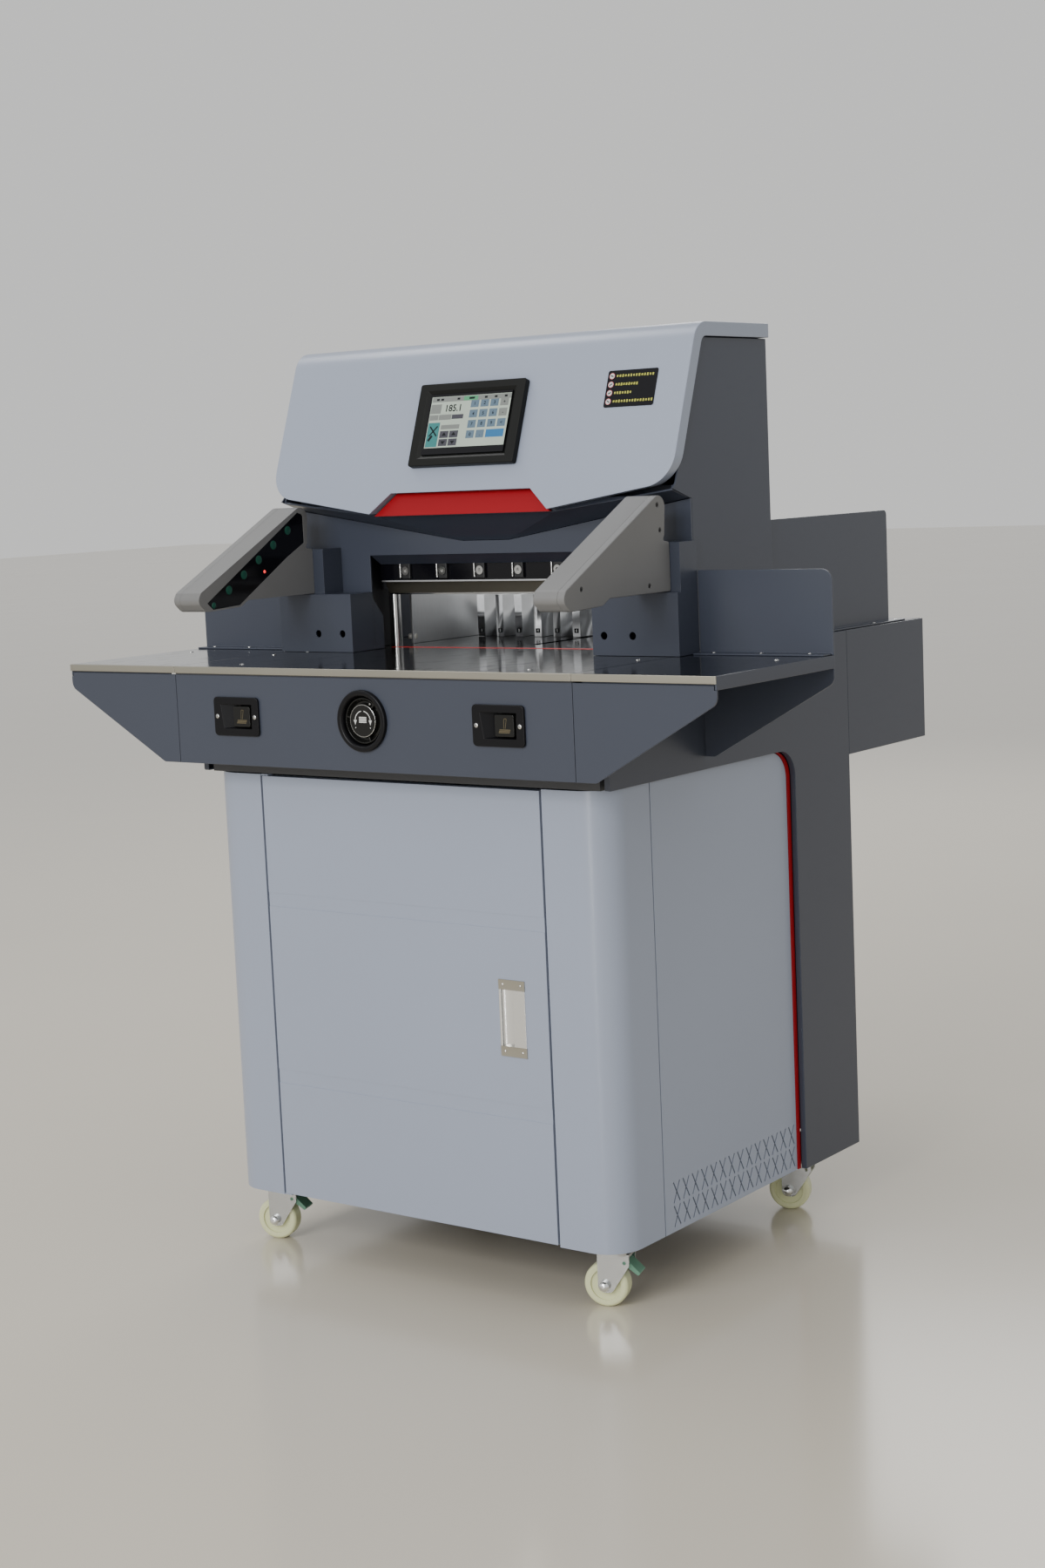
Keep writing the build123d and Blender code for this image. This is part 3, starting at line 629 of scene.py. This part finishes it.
# %% Arms with their seam
SEAM_X, SEAM_HALF = 337.5, 0.3
SCREWS = ((225, 1097.5), (229.8, 1063.4), (40.1, 995.4), (199.9, 989.6))    # (y, z)


def seamed_arm(side, sign):
    """One arm with its seam groove, rounded edges and screw recesses."""
    node = "curtain_arm_" + side
    arm = rounded(merged_copy(node, "arm_" + side), 2.2, 4)
    edit(arm)
    for x in (SEAM_X - SEAM_HALF, SEAM_X + SEAM_HALF):
        bpy.ops.mesh.select_all(action="SELECT")
        bpy.ops.mesh.bisect(plane_co=(sign * x * MM, 0, 0), plane_no=(1, 0, 0))
    bpy.ops.mesh.select_all(action="DESELECT")
    count = pick(arm, lambda c, n: abs(abs(c.x) - SEAM_X * MM) < SEAM_HALF * MM and abs(n.x) < 0.2)
    bpy.ops.mesh.extrude_region_shrink_fatten(TRANSFORM_OT_shrink_fatten={"value": -0.0008})
    leave()
    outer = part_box(node)[1 if sign > 0 else 0].x
    for y, z in SCREWS:
        deep = Vector((outer, at(0, y, 0).y, z * MM))
        recess = lathe("recess", ((0, -2.2), (3.4, -2.2), (3.9, 1.0), (0, 1.0)), deep, (sign, 0, 0), 24)
        carved(arm, recess)
    shaded(arm, 35)
    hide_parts(node)
    print(node, "seam faces:", count)
    return finished(arm, "arm_plastic", "machine")


for side, sign in (("right", 1), ("left", -1)):
    seamed_arm(side, sign)

# %% [markdown]
# A small screw is a turned head with a socket. Its profile is spun, then a hexagon is cut out. One
# screw is modelled and copied to every place that needs it.


# %% Screws
def socket_screw(name, centre, axis):
    """Button-head screw with a hexagonal socket."""
    radius, height = 2.9, 1.6
    profile = ((0, -1.2), (radius, -1.2), (radius, height * 0.35), (radius * 0.86, height * 0.8),
               (radius * 0.6, height), (0, height))
    head = lathe(name, profile, centre, axis, 24)
    axis = Vector(axis).normalized()
    across = axis.orthogonal()
    plane = axes(centre + axis * height * 0.45 * MM, across, axis.cross(across))
    hexagon = [(radius * 0.5 * math.cos(math.radians(60 * n)),
                radius * 0.5 * math.sin(math.radians(60 * n))) for n in range(6)]
    carved(head, plate("socket", hexagon, plane, height))
    shaded(head, 35)
    return finished(head, "frame_paint", "machine")


for side, sign in (("right", 1), ("left", -1)):
    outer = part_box("curtain_arm_" + side)[1 if sign > 0 else 0].x - sign * 1.8 * MM
    places = [Vector((outer, at(0, y, 0).y, z * MM)) for y, z in SCREWS]
    screw = socket_screw(f"arm_screw_{side}_0", places[0], (sign, 0, 0))
    for number, place in enumerate(places[1:], 1):
        other = copied(screw, f"arm_screw_{side}_{number}", (place - places[0]) / MM)
        finished(other, "frame_paint", "machine")
print("arm screws:", 2 * len(SCREWS))

# %% [markdown]
# Behind the dark window of each arm sits a row of lenses, one for every beam of the light curtain,
# and a small red lamp that shows a beam is cut.

# %% Window lenses
PANE_X = 299.6      # inner face of each dark pane
for side, sign in (("right", 1), ("left", -1)):
    face = sign * PANE_X * MM
    lenses = []
    for number in range(6):
        y, z = 199.0 - 33.6 * number, 1077.2 - 20.2 * number
        spot = Vector((face, at(0, y, 0).y, z * MM))
        radius = 6.6 if number < 5 else 4.6
        profile = ((radius, 0), (radius, 0.25), (radius * 0.8, 0.7), (radius * 0.45, 1.0), (0, 1.1))
        lenses.append(lathe("lens", profile, spot, (-sign, 0, 0), 32))
    row = shaded(joined("lenses_" + side, lenses), 50)
    finished(row, "lens_green", "machine")
    glint = lathe("lamp_" + side, ((2.4, 0), (2.2, 0.5), (0, 0.9)),
                  Vector((face, at(0, 143.2, 0).y, 1018.7 * MM)), (-sign, 0, 0), 20)
    finished(shaded(glint, 50), "lamp_red", "machine")
print("lenses in each row:", len(lenses))

# %% [markdown]
# ## Controls on the front sheet
# The knob sits in a black ring. Its cap is level with the front sheet and the dish round it has
# three finger ribs. A double arrow with a dot at each end shows which way the back gauge moves.

# %% Knob ring and button housings
CONTROL_Z, BUTTON_X = 819.0, 235.8
FACING = ((1, 0, 0), (0, 0, 1))      # across and up, on anything that looks to the front
hub = at(0, 0, CONTROL_Z)
toward = Vector((0, -1, 0))
ring = lathe("knob_ring", ((43, 0), (43, 4.2), (42.3, 5.5), (41, 6), (38, 6), (36.6, 5.6),
                           (35.2, 4.4), (34.2, 1.5), (34, 0), (34, -14), (8, -14), (8, -20),
                           (35.5, -20), (35.5, 0), (43, 0)), hub, toward, 96)
shaded(ring, 50)
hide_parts("control_housings")
finished(ring, "black_plastic", "machine")


def frustum(name, front, rear, y_front, y_rear, centre):
    """Four-sided cutter whose front and rear outlines differ."""
    cutter = plate(name, front, axes(centre + Vector((0, y_front * MM, 0)), *FACING),
                   y_front - y_rear)
    far = sorted(cutter.data.vertices, key=lambda corner: corner.co.y)[-4:]
    for corner in far:
        offset = corner.co - centre
        match = min(zip(front, rear), key=lambda two: (Vector(two[0]) * MM
                                                       - Vector((offset.x, offset.z))).length)
        corner.co.x = centre.x + match[1][0] * MM
        corner.co.z = centre.z + match[1][1] * MM
    return cutter


for side, sign in (("right", 1), ("left", -1)):
    middle = at(sign * BUTTON_X, 0, CONTROL_Z)
    flange = plate("button_housing_" + side, soft_rectangle(86, 56, 6),
                   axes(middle, *FACING), 4)
    rounded(flange, 1.2, 3)
    cup = block("cup", (sign * BUTTON_X - 35.9, -0.5, CONTROL_Z - 20.9),
                (sign * BUTTON_X + 35.9, 13.8, CONTROL_Z + 20.9))
    modify(flange, "BOOLEAN", object=cup, operation="UNION", solver="EXACT")
    bpy.data.objects.remove(cup)
    opening = frustum("opening", ((31, 17.8), (-30.2, 17.8), (-24.4, -17.4), (30, -17.4)),
                      ((26.5, 16), (-8.6, 16), (-8.6, -16), (26.5, -16)), -4.5, 11.5, middle)
    carved(flange, opening)
    rounded(flange, 0.5, 2, 40)
    shaded(flange)
    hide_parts("control_housings")
    finished(flange, "black_plastic", "machine")
print("control housings: 3")

# %% Knob dish, cap and its print
dish = lathe("knob_dish", ((0, -12), (31.4, -12), (32, -11.4), (32, -1.2), (31.5, -0.2),
                           (30.6, 0), (29.8, -0.4), (28.4, -6.2), (27, -7.6), (25, -7.8), (23.6, -6.8),
                           (23, -4.5), (23, -0.4), (22.4, 0.6), (21.6, 1.0), (19.8, 0.9),
                           (10, 0.75), (0, 0.7)), hub, toward, 96)
shaded(dish, 50)
ribs = []
for number in range(3):
    rib = block("rib", (22.4, 0.6, CONTROL_Z - 1.4), (30.6, 8.6, CONTROL_Z + 1.4))
    turn = math.radians(70 + 120 * number)
    rib.data.transform(Matrix.Translation(hub) @ Matrix.Rotation(turn, 4, "Y")
                       @ Matrix.Translation(-hub))
    ribs.append(rounded(rib, 0.9, 3))
knob_ribs = shaded(joined("knob_ribs", ribs))
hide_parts("hand_knob")
finished(dish, "button_plastic", "knob")
finished(knob_ribs, "button_plastic", "knob")
shaft = lathe("knob_shaft", ((0, -12), (6, -12), (6, -24), (10, -24), (10, -28), (6, -28), (6, -32),
                             (0, -32)), hub, toward, 48)
finished(shaded(shaft, 40), "bright_steel", "knob")
rivet = lathe("knob_rivet", ((0, 0.5), (1.3, 0.3), (1.7, -0.4), (1.7, -1.5)), hub, toward, 20)
rivet.data.transform(Matrix.Translation(Vector((13.5, 0, 23.5)) * MM))
finished(shaded(rivet, 50), "bright_steel", "knob")


def arc(radius, width, start, end, steps=28):
    """Outline of a curved band, angles in degrees."""
    turns = [math.radians(start + (end - start) * n / steps) for n in range(steps + 1)]
    outer = [((radius + width / 2) * math.cos(t), (radius + width / 2) * math.sin(t)) for t in turns]
    inner = [((radius - width / 2) * math.cos(t), (radius - width / 2) * math.sin(t)) for t in turns]
    return outer + inner[::-1]


cap_plane = axes(hub + toward * 0.72 * MM, *FACING)
prints = [plate("band", arc(13.6, 1.2, 100, 172), cap_plane, 0.22),
          plate("band", arc(13.6, 1.2, 8, 80), cap_plane, 0.22),
          plate("tip", [(-16.4, 1.2), (-13.5, -5.8), (-10.8, 1.2)], cap_plane, 0.22),
          plate("tip", [(10.8, 1.2), (13.5, -5.8), (16.4, 1.2)], cap_plane, 0.22)]
for x in (-13.2, 13.2):
    spot = axes(cap_plane @ Vector((x * MM, -9.6 * MM, 0)), *FACING)
    prints.append(plate("dot", arc(0.01, 1.6, 0, 360, 10)[:11], spot, 0.22))
for step in range(4):
    low_edge = -2.6 + 2.2 * step
    prints.append(plate("sheet", [(-6.6, low_edge), (6.6, low_edge), (6.6, low_edge + 1.5),
                                  (-6.6, low_edge + 1.5)], cap_plane, 0.22))
finished(joined("knob_print", prints), "print_white", "knob")
rim = lathe("knob_rim", ((22.5, 0.5), (22.6, 0.8), (22.3, 1.0), (22.0, 0.9)),
            hub, toward, 96)
finished(shaded(rim, 60), "bright_steel", "knob")
print("marks on the knob:", len(prints))

# %% [markdown]
# The two cut buttons are square smoked caps. Each shows a knife over a stack of sheets, drawn in
# thin raised print, and sits off centre in its pocket so that a thumb slides in over the slope.

# %% Cut buttons
for side, sign in (("right", 1), ("left", -1)):
    node = "cut_button_" + side
    middle = at(sign * BUTTON_X + 9, -2, CONTROL_Z)
    cap = plate("cap_" + side, soft_rectangle(32, 30, 2.5), axes(middle, *FACING), -12)
    rounded(cap, 1.3, 3)
    shaded(cap)
    stem = block("stem_" + side, (sign * BUTTON_X + 1.5, 9.5, CONTROL_Z - 7.5),
                 (sign * BUTTON_X + 16.5, 30, CONTROL_Z + 7.5))
    rounded(stem, 0.8, 2)
    cap = joined("button_cap_" + side, [cap, stem])
    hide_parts(node)
    finished(cap, "button_plastic", "button_" + side)
    print_plane = axes(middle + toward * -0.05 * MM, *FACING)
    lines = [[(-9 + n * 0.7, -9.6 + n * 1.9), (9 + n * 0.7, -9.6 + n * 1.9),
              (9 + n * 0.7, -8.4 + n * 1.9), (-9 + n * 0.7, -8.4 + n * 1.9)] for n in range(3)]
    lines += [[(-1.0, -3.6), (-0.3, -3.6), (0.5, 10), (-0.2, 10)],
              [(1.4, -3.6), (2.1, -3.6), (4.7, 10), (4, 10)],
              [(-0.2, 9.3), (4.7, 9.3), (4.7, 10), (-0.2, 10)]]
    marks = [plate("mark", line, print_plane, 0.2) for line in lines]
    finished(joined("button_print_" + side, marks), "print_gold", "button_" + side)
print("cut buttons: 2")

# %% Screws of the button housings
for side, sign in (("right", 1), ("left", -1)):
    for number, x in enumerate((-35.6, 36.6)):
        centre = at(sign * BUTTON_X + x, -4, CONTROL_Z)
        screw = lathe(f"housing_screw_{side}_{number}",
                      ((0, -1), (3.3, -1), (3.3, 0.5), (2.9, 1.1), (2, 1.5), (0, 1.6)),
                      centre, toward, 28)
        slots = [block("cross", (sign * BUTTON_X + x - a, -6, CONTROL_Z - b),
                       (sign * BUTTON_X + x + a, -4.7, CONTROL_Z + b)) for a, b in ((1.9, 0.4), (0.4, 1.9))]
        carved(screw, *slots)
        finished(shaded(screw, 35), "bright_steel", "machine")
print("housing screws: 4")

# %% [markdown]
# ## Touch panel
# The panel is a black bezel with a sloped inner rim round a glass display. The display shows the
# gauge distance, a row of tabs and a keypad. Each field is a thin tile laid on the glass, so the
# picture is made of shapes and stays sharp from near.

# %% Bezel
TILT = math.radians(20)
FACE_AT = at(0, 249.5, 1159.1)


def on_face(x, z, lift=0.0):
    """Work plane on the hood's leaning face, lifted off it in millimetres."""
    spot = Vector((x * MM, FACE_AT.y + (z * MM - FACE_AT.z) * math.tan(TILT), z * MM))
    up = Vector((0, math.sin(TILT), math.cos(TILT)))
    return axes(spot + Vector((0, -math.cos(TILT), math.sin(TILT))) * lift * MM, (1, 0, 0), up)


PANEL_Z = 1220
panel = on_face(0, PANEL_Z)
bezel = plate("panel_bezel", soft_rectangle(192, 126, 4), panel, 10)
rounded(bezel, 1.4, 3)
window = plate("window", [(-82, -53), (82, -53), (82, 53), (-82, 53)], on_face(0, PANEL_Z, 10.5), -4.0)
glass_plane = on_face(0, PANEL_Z, 6.5)
normal = glass_plane.to_3x3() @ Vector((0, 0, 1))
depths = [(corner.co - panel.translation).dot(normal) for corner in window.data.vertices]
for corner, depth in zip(window.data.vertices, depths):
    if depth < 0.008:
        local = glass_plane.inverted() @ corner.co
        corner.co = glass_plane @ Vector((local.x * 74.8 / 82, local.y * 45.8 / 53, 0))
carved(bezel, window)
rounded(bezel, 0.4, 2, 25)
shaded(bezel)
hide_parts("control_bezel")
finished(bezel, "bezel_plastic", "machine")
nodes["control_screen"].data.materials.clear()
nodes["control_screen"].data.materials.append(finishes["black_gloss"])
print("bezel faces:", len(bezel.data.polygons))


# %% Display tiles
def tiles(name, finish, outlines, layer):
    """Thin tiles on the glass, as one piece; each outline is (left, low, right, high)."""
    plane = on_face(0, PANEL_Z, 9.0 + 0.05 * layer)
    made = [plate("tile", [(a, b), (c, b), (c, d), (a, d)], plane, 0.05) for a, b, c, d in outlines]
    return finished(joined(name, made), finish, "machine")


KEY_X, KEY_Y = (2.6, 20.4, 38.2, 56.0), (23.2, 7.6, -8.0, -23.6)
KEY_WIDE, KEY_TALL = 14.6, 11.8
tiles("display_ground", "screen", [(-71, -36, 74, 42)], 0)
fields = [(-70, 34, 74, 41.4), (-70, 16.4, -51, 30.6), (-70, 6.4, -54, 14.4), (-53, 6.4, -30, 14.4),
          (-46, -8.2, -12, -1.6), (KEY_X[3], 23.2, KEY_X[3] + KEY_WIDE, 34.0),
          (KEY_X[3], 7.6, KEY_X[3] + KEY_WIDE, 19.4)]
tiles("display_bar", "screen_grey", fields, 1)
tiles("display_tab", "screen_green", [(-12, 34.4, 14, 41.0)], 2)
tiles("display_readout", "screen", [(-50, 16.4, -7, 30.6)], 1)
keys = [(x, y, x + KEY_WIDE, y + KEY_TALL - (1.0 if row == 0 else 0))
        for row, y in enumerate(KEY_Y) for column, x in enumerate(KEY_X)
        if not (column == 3 and row < 2) and not (row == 3 and column > 1)]
tiles("display_keys", "screen_key", keys, 1)
tiles("display_enter", "screen_blue", [(KEY_X[2], KEY_Y[3], KEY_X[3] + KEY_WIDE, KEY_Y[3] + KEY_TALL)], 1)
tiles("display_tool", "screen_teal", [(-70, -34.6, -48.5, 2.6)], 1)
arrows = [(x, y, x + 16, y + 10.6) for x in (-46, -28.4) for y in (-33.6, -21.4)]
tiles("display_arrows", "screen_slate", arrows + [(-29, 7.0, -8, 13.8)], 1)
ink = []
ink_plane = on_face(0, PANEL_Z, 9.16)
for x, y, tip in ((-38, -28.2, -3.2), (-20.4, -28.2, -3.2), (-38, -16, 3.2), (-20.4, -16, 3.2)):
    ink.append(plate("arrow", [(x - 4, y - tip * 0.6), (x + 4, y - tip * 0.6), (x, y + tip)],
                     ink_plane, 0.04))
for start, end, wide in (((-66, -18), (-52, -3), 1.1), ((-52, -18), (-66, -3), 1.1),
                         ((-66, -25), (-60, -17), 2.0)):
    run = (Vector(end) - Vector(start)).normalized()
    off = Vector((-run.y, run.x)) * wide
    ink.append(plate("tool", [Vector(start) - off, Vector(end) - off, Vector(end) + off,
                              Vector(start) + off], ink_plane, 0.04))
for x in (-62, -54, -24, -2, 3, 26, 44, 62):
    ink.append(plate("word", [(x, 36.2), (x + 5, 36.2), (x + 5, 39.2), (x, 39.2)], ink_plane, 0.04))


def numeral(text, size, plane, x=0, y=0):
    """Flat number in the built-in font, centred on a spot of a work plane."""
    clear_selection()
    bpy.ops.object.text_add()
    letter = bpy.context.object
    letter.data.body, letter.data.size = text, size * MM
    letter.data.align_x, letter.data.align_y = "CENTER", "CENTER"
    letter.data.extrude = 0.00002
    letter.data.offset = size * 0.018 * MM
    letter.data.resolution_u = 3
    only(letter)
    bpy.ops.object.convert(target="MESH")
    letter = bpy.context.object
    letter.data.transform(plane @ Matrix.Translation((x * MM, y * MM, 0)))
    return letter


ink.append(numeral("185.1", 14.5, ink_plane, -28.5, 23.4))
for row, line in enumerate(("123+", "456-", "789<", "0.")):
    for column, sign_text in enumerate(line):
        ink.append(numeral(sign_text, 7.0, ink_plane, KEY_X[column] + 7.3, KEY_Y[row] + 5.6))
finished(joined("display_ink", ink), "print_dark", "machine")
print("display ink parts:", len(ink))

# %% [markdown]
# ## Plate of pictograms
# A small black plate on the right of the hood has four round signs, each with a plain mark and a
# row of short dashes in place of its line of words.

# %% Signs on the plate
sign_plane = on_face(273, 1258, 0.82)
discs, marks, dashes, rings = [], [], [], []
for row, (count, gap) in enumerate(((14, 4.55), (9, 4.3), (7, 4.3), (15, 4.5))):
    height = 18.6 - 12.4 * row
    spot = sign_plane @ Vector((-34.2 * MM, height * MM, 0))
    outward = sign_plane.to_3x3() @ Vector((0, 0, 1))
    discs.append(lathe("disc", ((0, 0), (4.0, 0), (4.0, 0.22), (0, 0.26)), spot, outward, 28))
    rings.append(lathe("sign_ring", ((4.0, 0), (4.6, 0), (4.6, 0.24), (4.0, 0.3), (4.0, 0)), spot,
                       outward, 28))
    lean = (-0.6, 1.2, 0.9, -1.4)[row]
    marks.append(plate("mark", [(-36.6, height - 0.9 - lean), (-31.8, height - 0.9 + lean),
                                (-31.8, height + 0.9 + lean), (-36.6, height + 0.9 - lean)],
                       on_face(273, 1258, 1.08), 0.12))
    for number in range(count):
        x = -26.4 + gap * number
        tall = 1.5 + 0.5 * ((number * 7 + row * 3) % 3) / 2
        dashes.append(plate("dash", [(x, height - tall), (x + 2.6, height - tall),
                                     (x + 2.6, height + tall), (x, height + tall)], sign_plane, 0.1))
finished(joined("sign_discs", discs), "print_white", "machine")
finished(joined("sign_rings", rings), "print_red", "machine")
finished(joined("sign_marks", marks), "print_dark", "machine")
finished(joined("sign_dashes", dashes), "print_yellow", "machine")
print("signs:", len(discs), "dashes:", len(dashes))

# %% [markdown]
# ## Door pull
# The pull is pressed in bright metal. Its left half is a round scoop for the fingers, its right
# half a flat lip to pull on, and two dull end caps close it. The scoop is half a turn of a straight
# edge, pressed shallow and given a wall by the Solidify modifier.

# %% Pull
low_end, high_end = 366.0, 446.0
clear_selection()
bpy.ops.mesh.primitive_plane_add(size=MM, location=at(172.2, 60, low_end))
scoop = fresh("pull_scoop")
edit(scoop, "VERT")
bpy.ops.mesh.select_all(action="SELECT")
bpy.ops.mesh.merge(type="CENTER")
bpy.ops.mesh.extrude_region_move(
    TRANSFORM_OT_translate={"value": (0, 0, (high_end - low_end) * MM)})
bpy.ops.mesh.select_all(action="SELECT")
bpy.ops.mesh.spin(steps=28, angle=-math.pi, center=at(185.6, 60, 400), axis=(0, 0, 1))
bpy.ops.mesh.select_all(action="SELECT")
bpy.ops.mesh.normals_make_consistent(inside=False)
leave()
middle = sum((corner.co for corner in scoop.data.vertices), Vector()) / len(scoop.data.vertices)
if middle.y < at(0, 60, 0).y:
    scoop.data.transform(Matrix.Translation(at(185.6, 60, 406)) @ Matrix.Rotation(math.pi, 4, "Z")
                         @ Matrix.Translation(-at(185.6, 60, 406)))
shallow = Matrix.Diagonal((1, 0.42, 1, 1))
scoop.data.transform(Matrix.Translation(at(0, 60.2, 0)) @ shallow @ Matrix.Translation(-at(0, 60, 0)))
modify(scoop, "SOLIDIFY", thickness=0.8 * MM, offset=0)
finished(shaded(scoop, 50), "handle_chrome", "door")
lip = block("pull_lip", (192.5, 58.5, low_end), (213.2, 60.4, high_end))
edit(lip)
pick(lip, lambda c, n: n.x < -0.9)
bpy.ops.mesh.extrude_region_move(TRANSFORM_OT_translate={"value": (-0.002, 0.003, 0)})
leave()
rounded(lip, 0.5, 3, 20)
finished(shaded(lip), "handle_chrome", "door")
bead = block("pull_bead", (168.8, 58.3, low_end), (172.6, 60.4, high_end))
rounded(bead, 0.9, 4)
finished(shaded(bead), "handle_chrome", "door")
for name, low, high in (("low", 351.9, 366.2), ("high", 445.8, 460.1)):
    end = block("pull_end_" + name, (168.6, 58.4, low), (213.4, 75.0, high))
    edit(end)
    pick(end, lambda c, n: n.y < -0.9)
    bpy.ops.mesh.inset(thickness=0.0016, depth=-0.0004)
    leave()
    rounded(end, 0.5, 2)
    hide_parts("door_handle")
    finished(shaded(end), "strip_metal", "door")
    for number, x in enumerate((176, 206)):
        profile = ((0, -0.6), (1.7, -0.6), (1.7, 0.3), (1.1, 0.8), (0, 0.9))
        pin = lathe(f"pull_pin_{name}_{number}", profile, at(x, 58.7, (low + high) / 2), toward, 20)
        finished(shaded(pin, 40), "bright_steel", "door")
lining = block("pull_lining", (171.5, 72.4, low_end - 1), (211, 73.6, high_end + 1))
rounded(lining, 0.3, 1)
finished(shaded(lining), "handle_chrome", "door")
print("pull:", round(high_end - low_end), "mm between its end caps")

# %% [markdown]
# ## Inside the paper window
# The knife is bolted to its beam by six socket screws in black lugs. A thin bright strip runs
# along the lower edge of the beam. The blade below it is ground, with a bright bevel.

# %% Knife lugs and strip
blade_low, blade_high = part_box("knife_blade")
bolt_x = [-173 + 71 * number for number in range(6)]
lugs = []
for x in bolt_x:
    lug = block("lug", (x - 8, 319.4, 996), (x + 8, 324.2, 1020))
    rounded(lug, 1.2, 3)
    hole = lathe("hole", ((0, -4), (6.9, -4), (6.9, 4), (0, 4)), at(x, 320, 1008), toward, 32)
    lugs.append(carved(lug, hole))
lug_row = shaded(joined("knife_lugs", lugs))
finished(lug_row, "frame_paint", "knife")
pin_profile = ((0, 0), (2.1, 0), (2.1, 24), (1.6, 24.8), (0, 25))
pins = [lathe("pin", pin_profile, at(x - 12, 321.6, 998), (0, 0, 1), 24) for x in bolt_x]
finished(shaded(joined("knife_pins", pins)), "bright_steel", "knife")
strip = block("knife_strip", (blade_low.x / MM + 4, 323.2, 991.2),
              (blade_high.x / MM - 4, 324.4, 993.6))
rounded(strip, 0.3, 2)
finished(shaded(strip), "gauge_metal", "knife")
bevel_line = block("knife_bevel", (blade_low.x / MM + 1, 344.4, 971.0),
                   (blade_high.x / MM - 1, 345.9, 973.4))
rounded(bevel_line, 0.4, 2)
finished(shaded(bevel_line), "bright_steel", "knife")
print("lugs:", len(bolt_x))

# %% Side lays and the top of the cutting stick
stick_top = block("cut_stick_top", (-225.4, 340.4, 889.2), (225.4, 351.6, 890.2))
finished(stick_top, "stick_plastic", "machine")
for side, sign in (("left", -1), ("right", 1)):
    lay = block("side_lay_" + side, (sign * 234.6 - 1.8, 403.6, 890.3), (sign * 234.6 + 1.8, 690.4, 968.3))
    rounded(lay, 0.5, 2)
    finished(shaded(lay), "gauge_metal", "machine")
print("side lays: 2")

# %% [markdown]
# Every finger of the back gauge has a small black square with a light number at its foot, and a
# white roller turns beside the left side lay.

# %% Gauge numbers and roller
face_y = (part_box("back_gauge")[0].y - FRONT) / MM
fingers = [(number - 5.5) * 37.2 for number in range(12)]
squares, digits = [], []
for number, x in enumerate(fingers):
    plane = axes(at(x, face_y, 900), *FACING)
    squares.append(plate("square", soft_rectangle(8.4, 7.2, 0.8, steps=2), plane, 0.25))
    digits.append(numeral(str(number + 1), 5.6, axes(at(x, face_y - 0.26, 900), *FACING)))
finished(joined("gauge_squares", squares), "print_dark", "gauge")
finished(joined("gauge_digits", digits), "print_white", "gauge")
roller = lathe("lay_roller", ((0, 0), (3.6, 0), (4.4, 0.6), (4.6, 2), (4.6, 12), (4.4, 13.4), (3.6, 14),
                              (0, 14)), at(-246, 410, 901), (1, 0, 0), 32)
finished(shaded(roller, 50), "white_nylon", "machine")
print("fingers numbered:", len(fingers))

# %% [markdown]
# ## Screws on the tables and guards
# Small flat heads hold the tables and the foot flanges. One head is turned and copied.

# %% Table and flange screws
TABLE_TOP, FLANGE = 890.0, 2.5
spots = [(533.5, 216.8, 0), (332.5, 190.1, 0), (-259.5, 40.5, 0), (-332.5, 190.1, 0), (-533.5, 216.8, 0),
         (259.5, 40.5, 0)]
spots += [(sign * x, 283.5, FLANGE) for x in (395, 470, 545) for sign in (1, -1)]
spots += [(sign * 356.5, y, FLANGE) for y in (540, 676, 812, 886) for sign in (1, -1)]
profile = ((0, -0.3), (3.6, -0.3), (3.6, 0.3), (3.0, 0.9), (1.7, 1.1), (1.2, 0.5), (0, 0.5))
head = lathe("table_screw_0", profile, at(*spots[0][:2], TABLE_TOP), (0, 0, 1), 28)
shaded(head, 35)
finished(head, "bright_steel", "machine")
for number, (x, y, lift) in enumerate(spots[1:], 1):
    shift = (x - spots[0][0], y - spots[0][1], lift - spots[0][2])
    finished(copied(head, f"table_screw_{number}", shift), "bright_steel", "machine")
print("table screws:", len(spots))

# %% [markdown]
# ## Casters
# A dome nut closes each end of the axle bolt. The front wheels have a green brake pedal.

# %% Dome nuts
HEADING = math.radians(17)      # all casters have swung round by the same angle
axle = Vector((-math.sin(HEADING), math.cos(HEADING), 0))
profile = ((0, 15), (6.9, 15), (7.3, 16.5), (7.3, 20.6), (6.6, 22.2), (4.6, 23.8), (2.2, 24.6), (0, 24.8))
for corner in ("front_left", "front_right", "rear_left", "rear_right"):
    wheel_low, wheel_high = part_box("caster_wheel_" + corner)
    centre = (wheel_low + wheel_high) / 2
    domes = [lathe("dome", profile, centre, axle * way, 32) for way in (1, -1)]
    finished(shaded(joined("axle_nuts_" + corner, domes), 45), "handle_chrome", "swivel_" + corner)
print("dome nuts: 8")
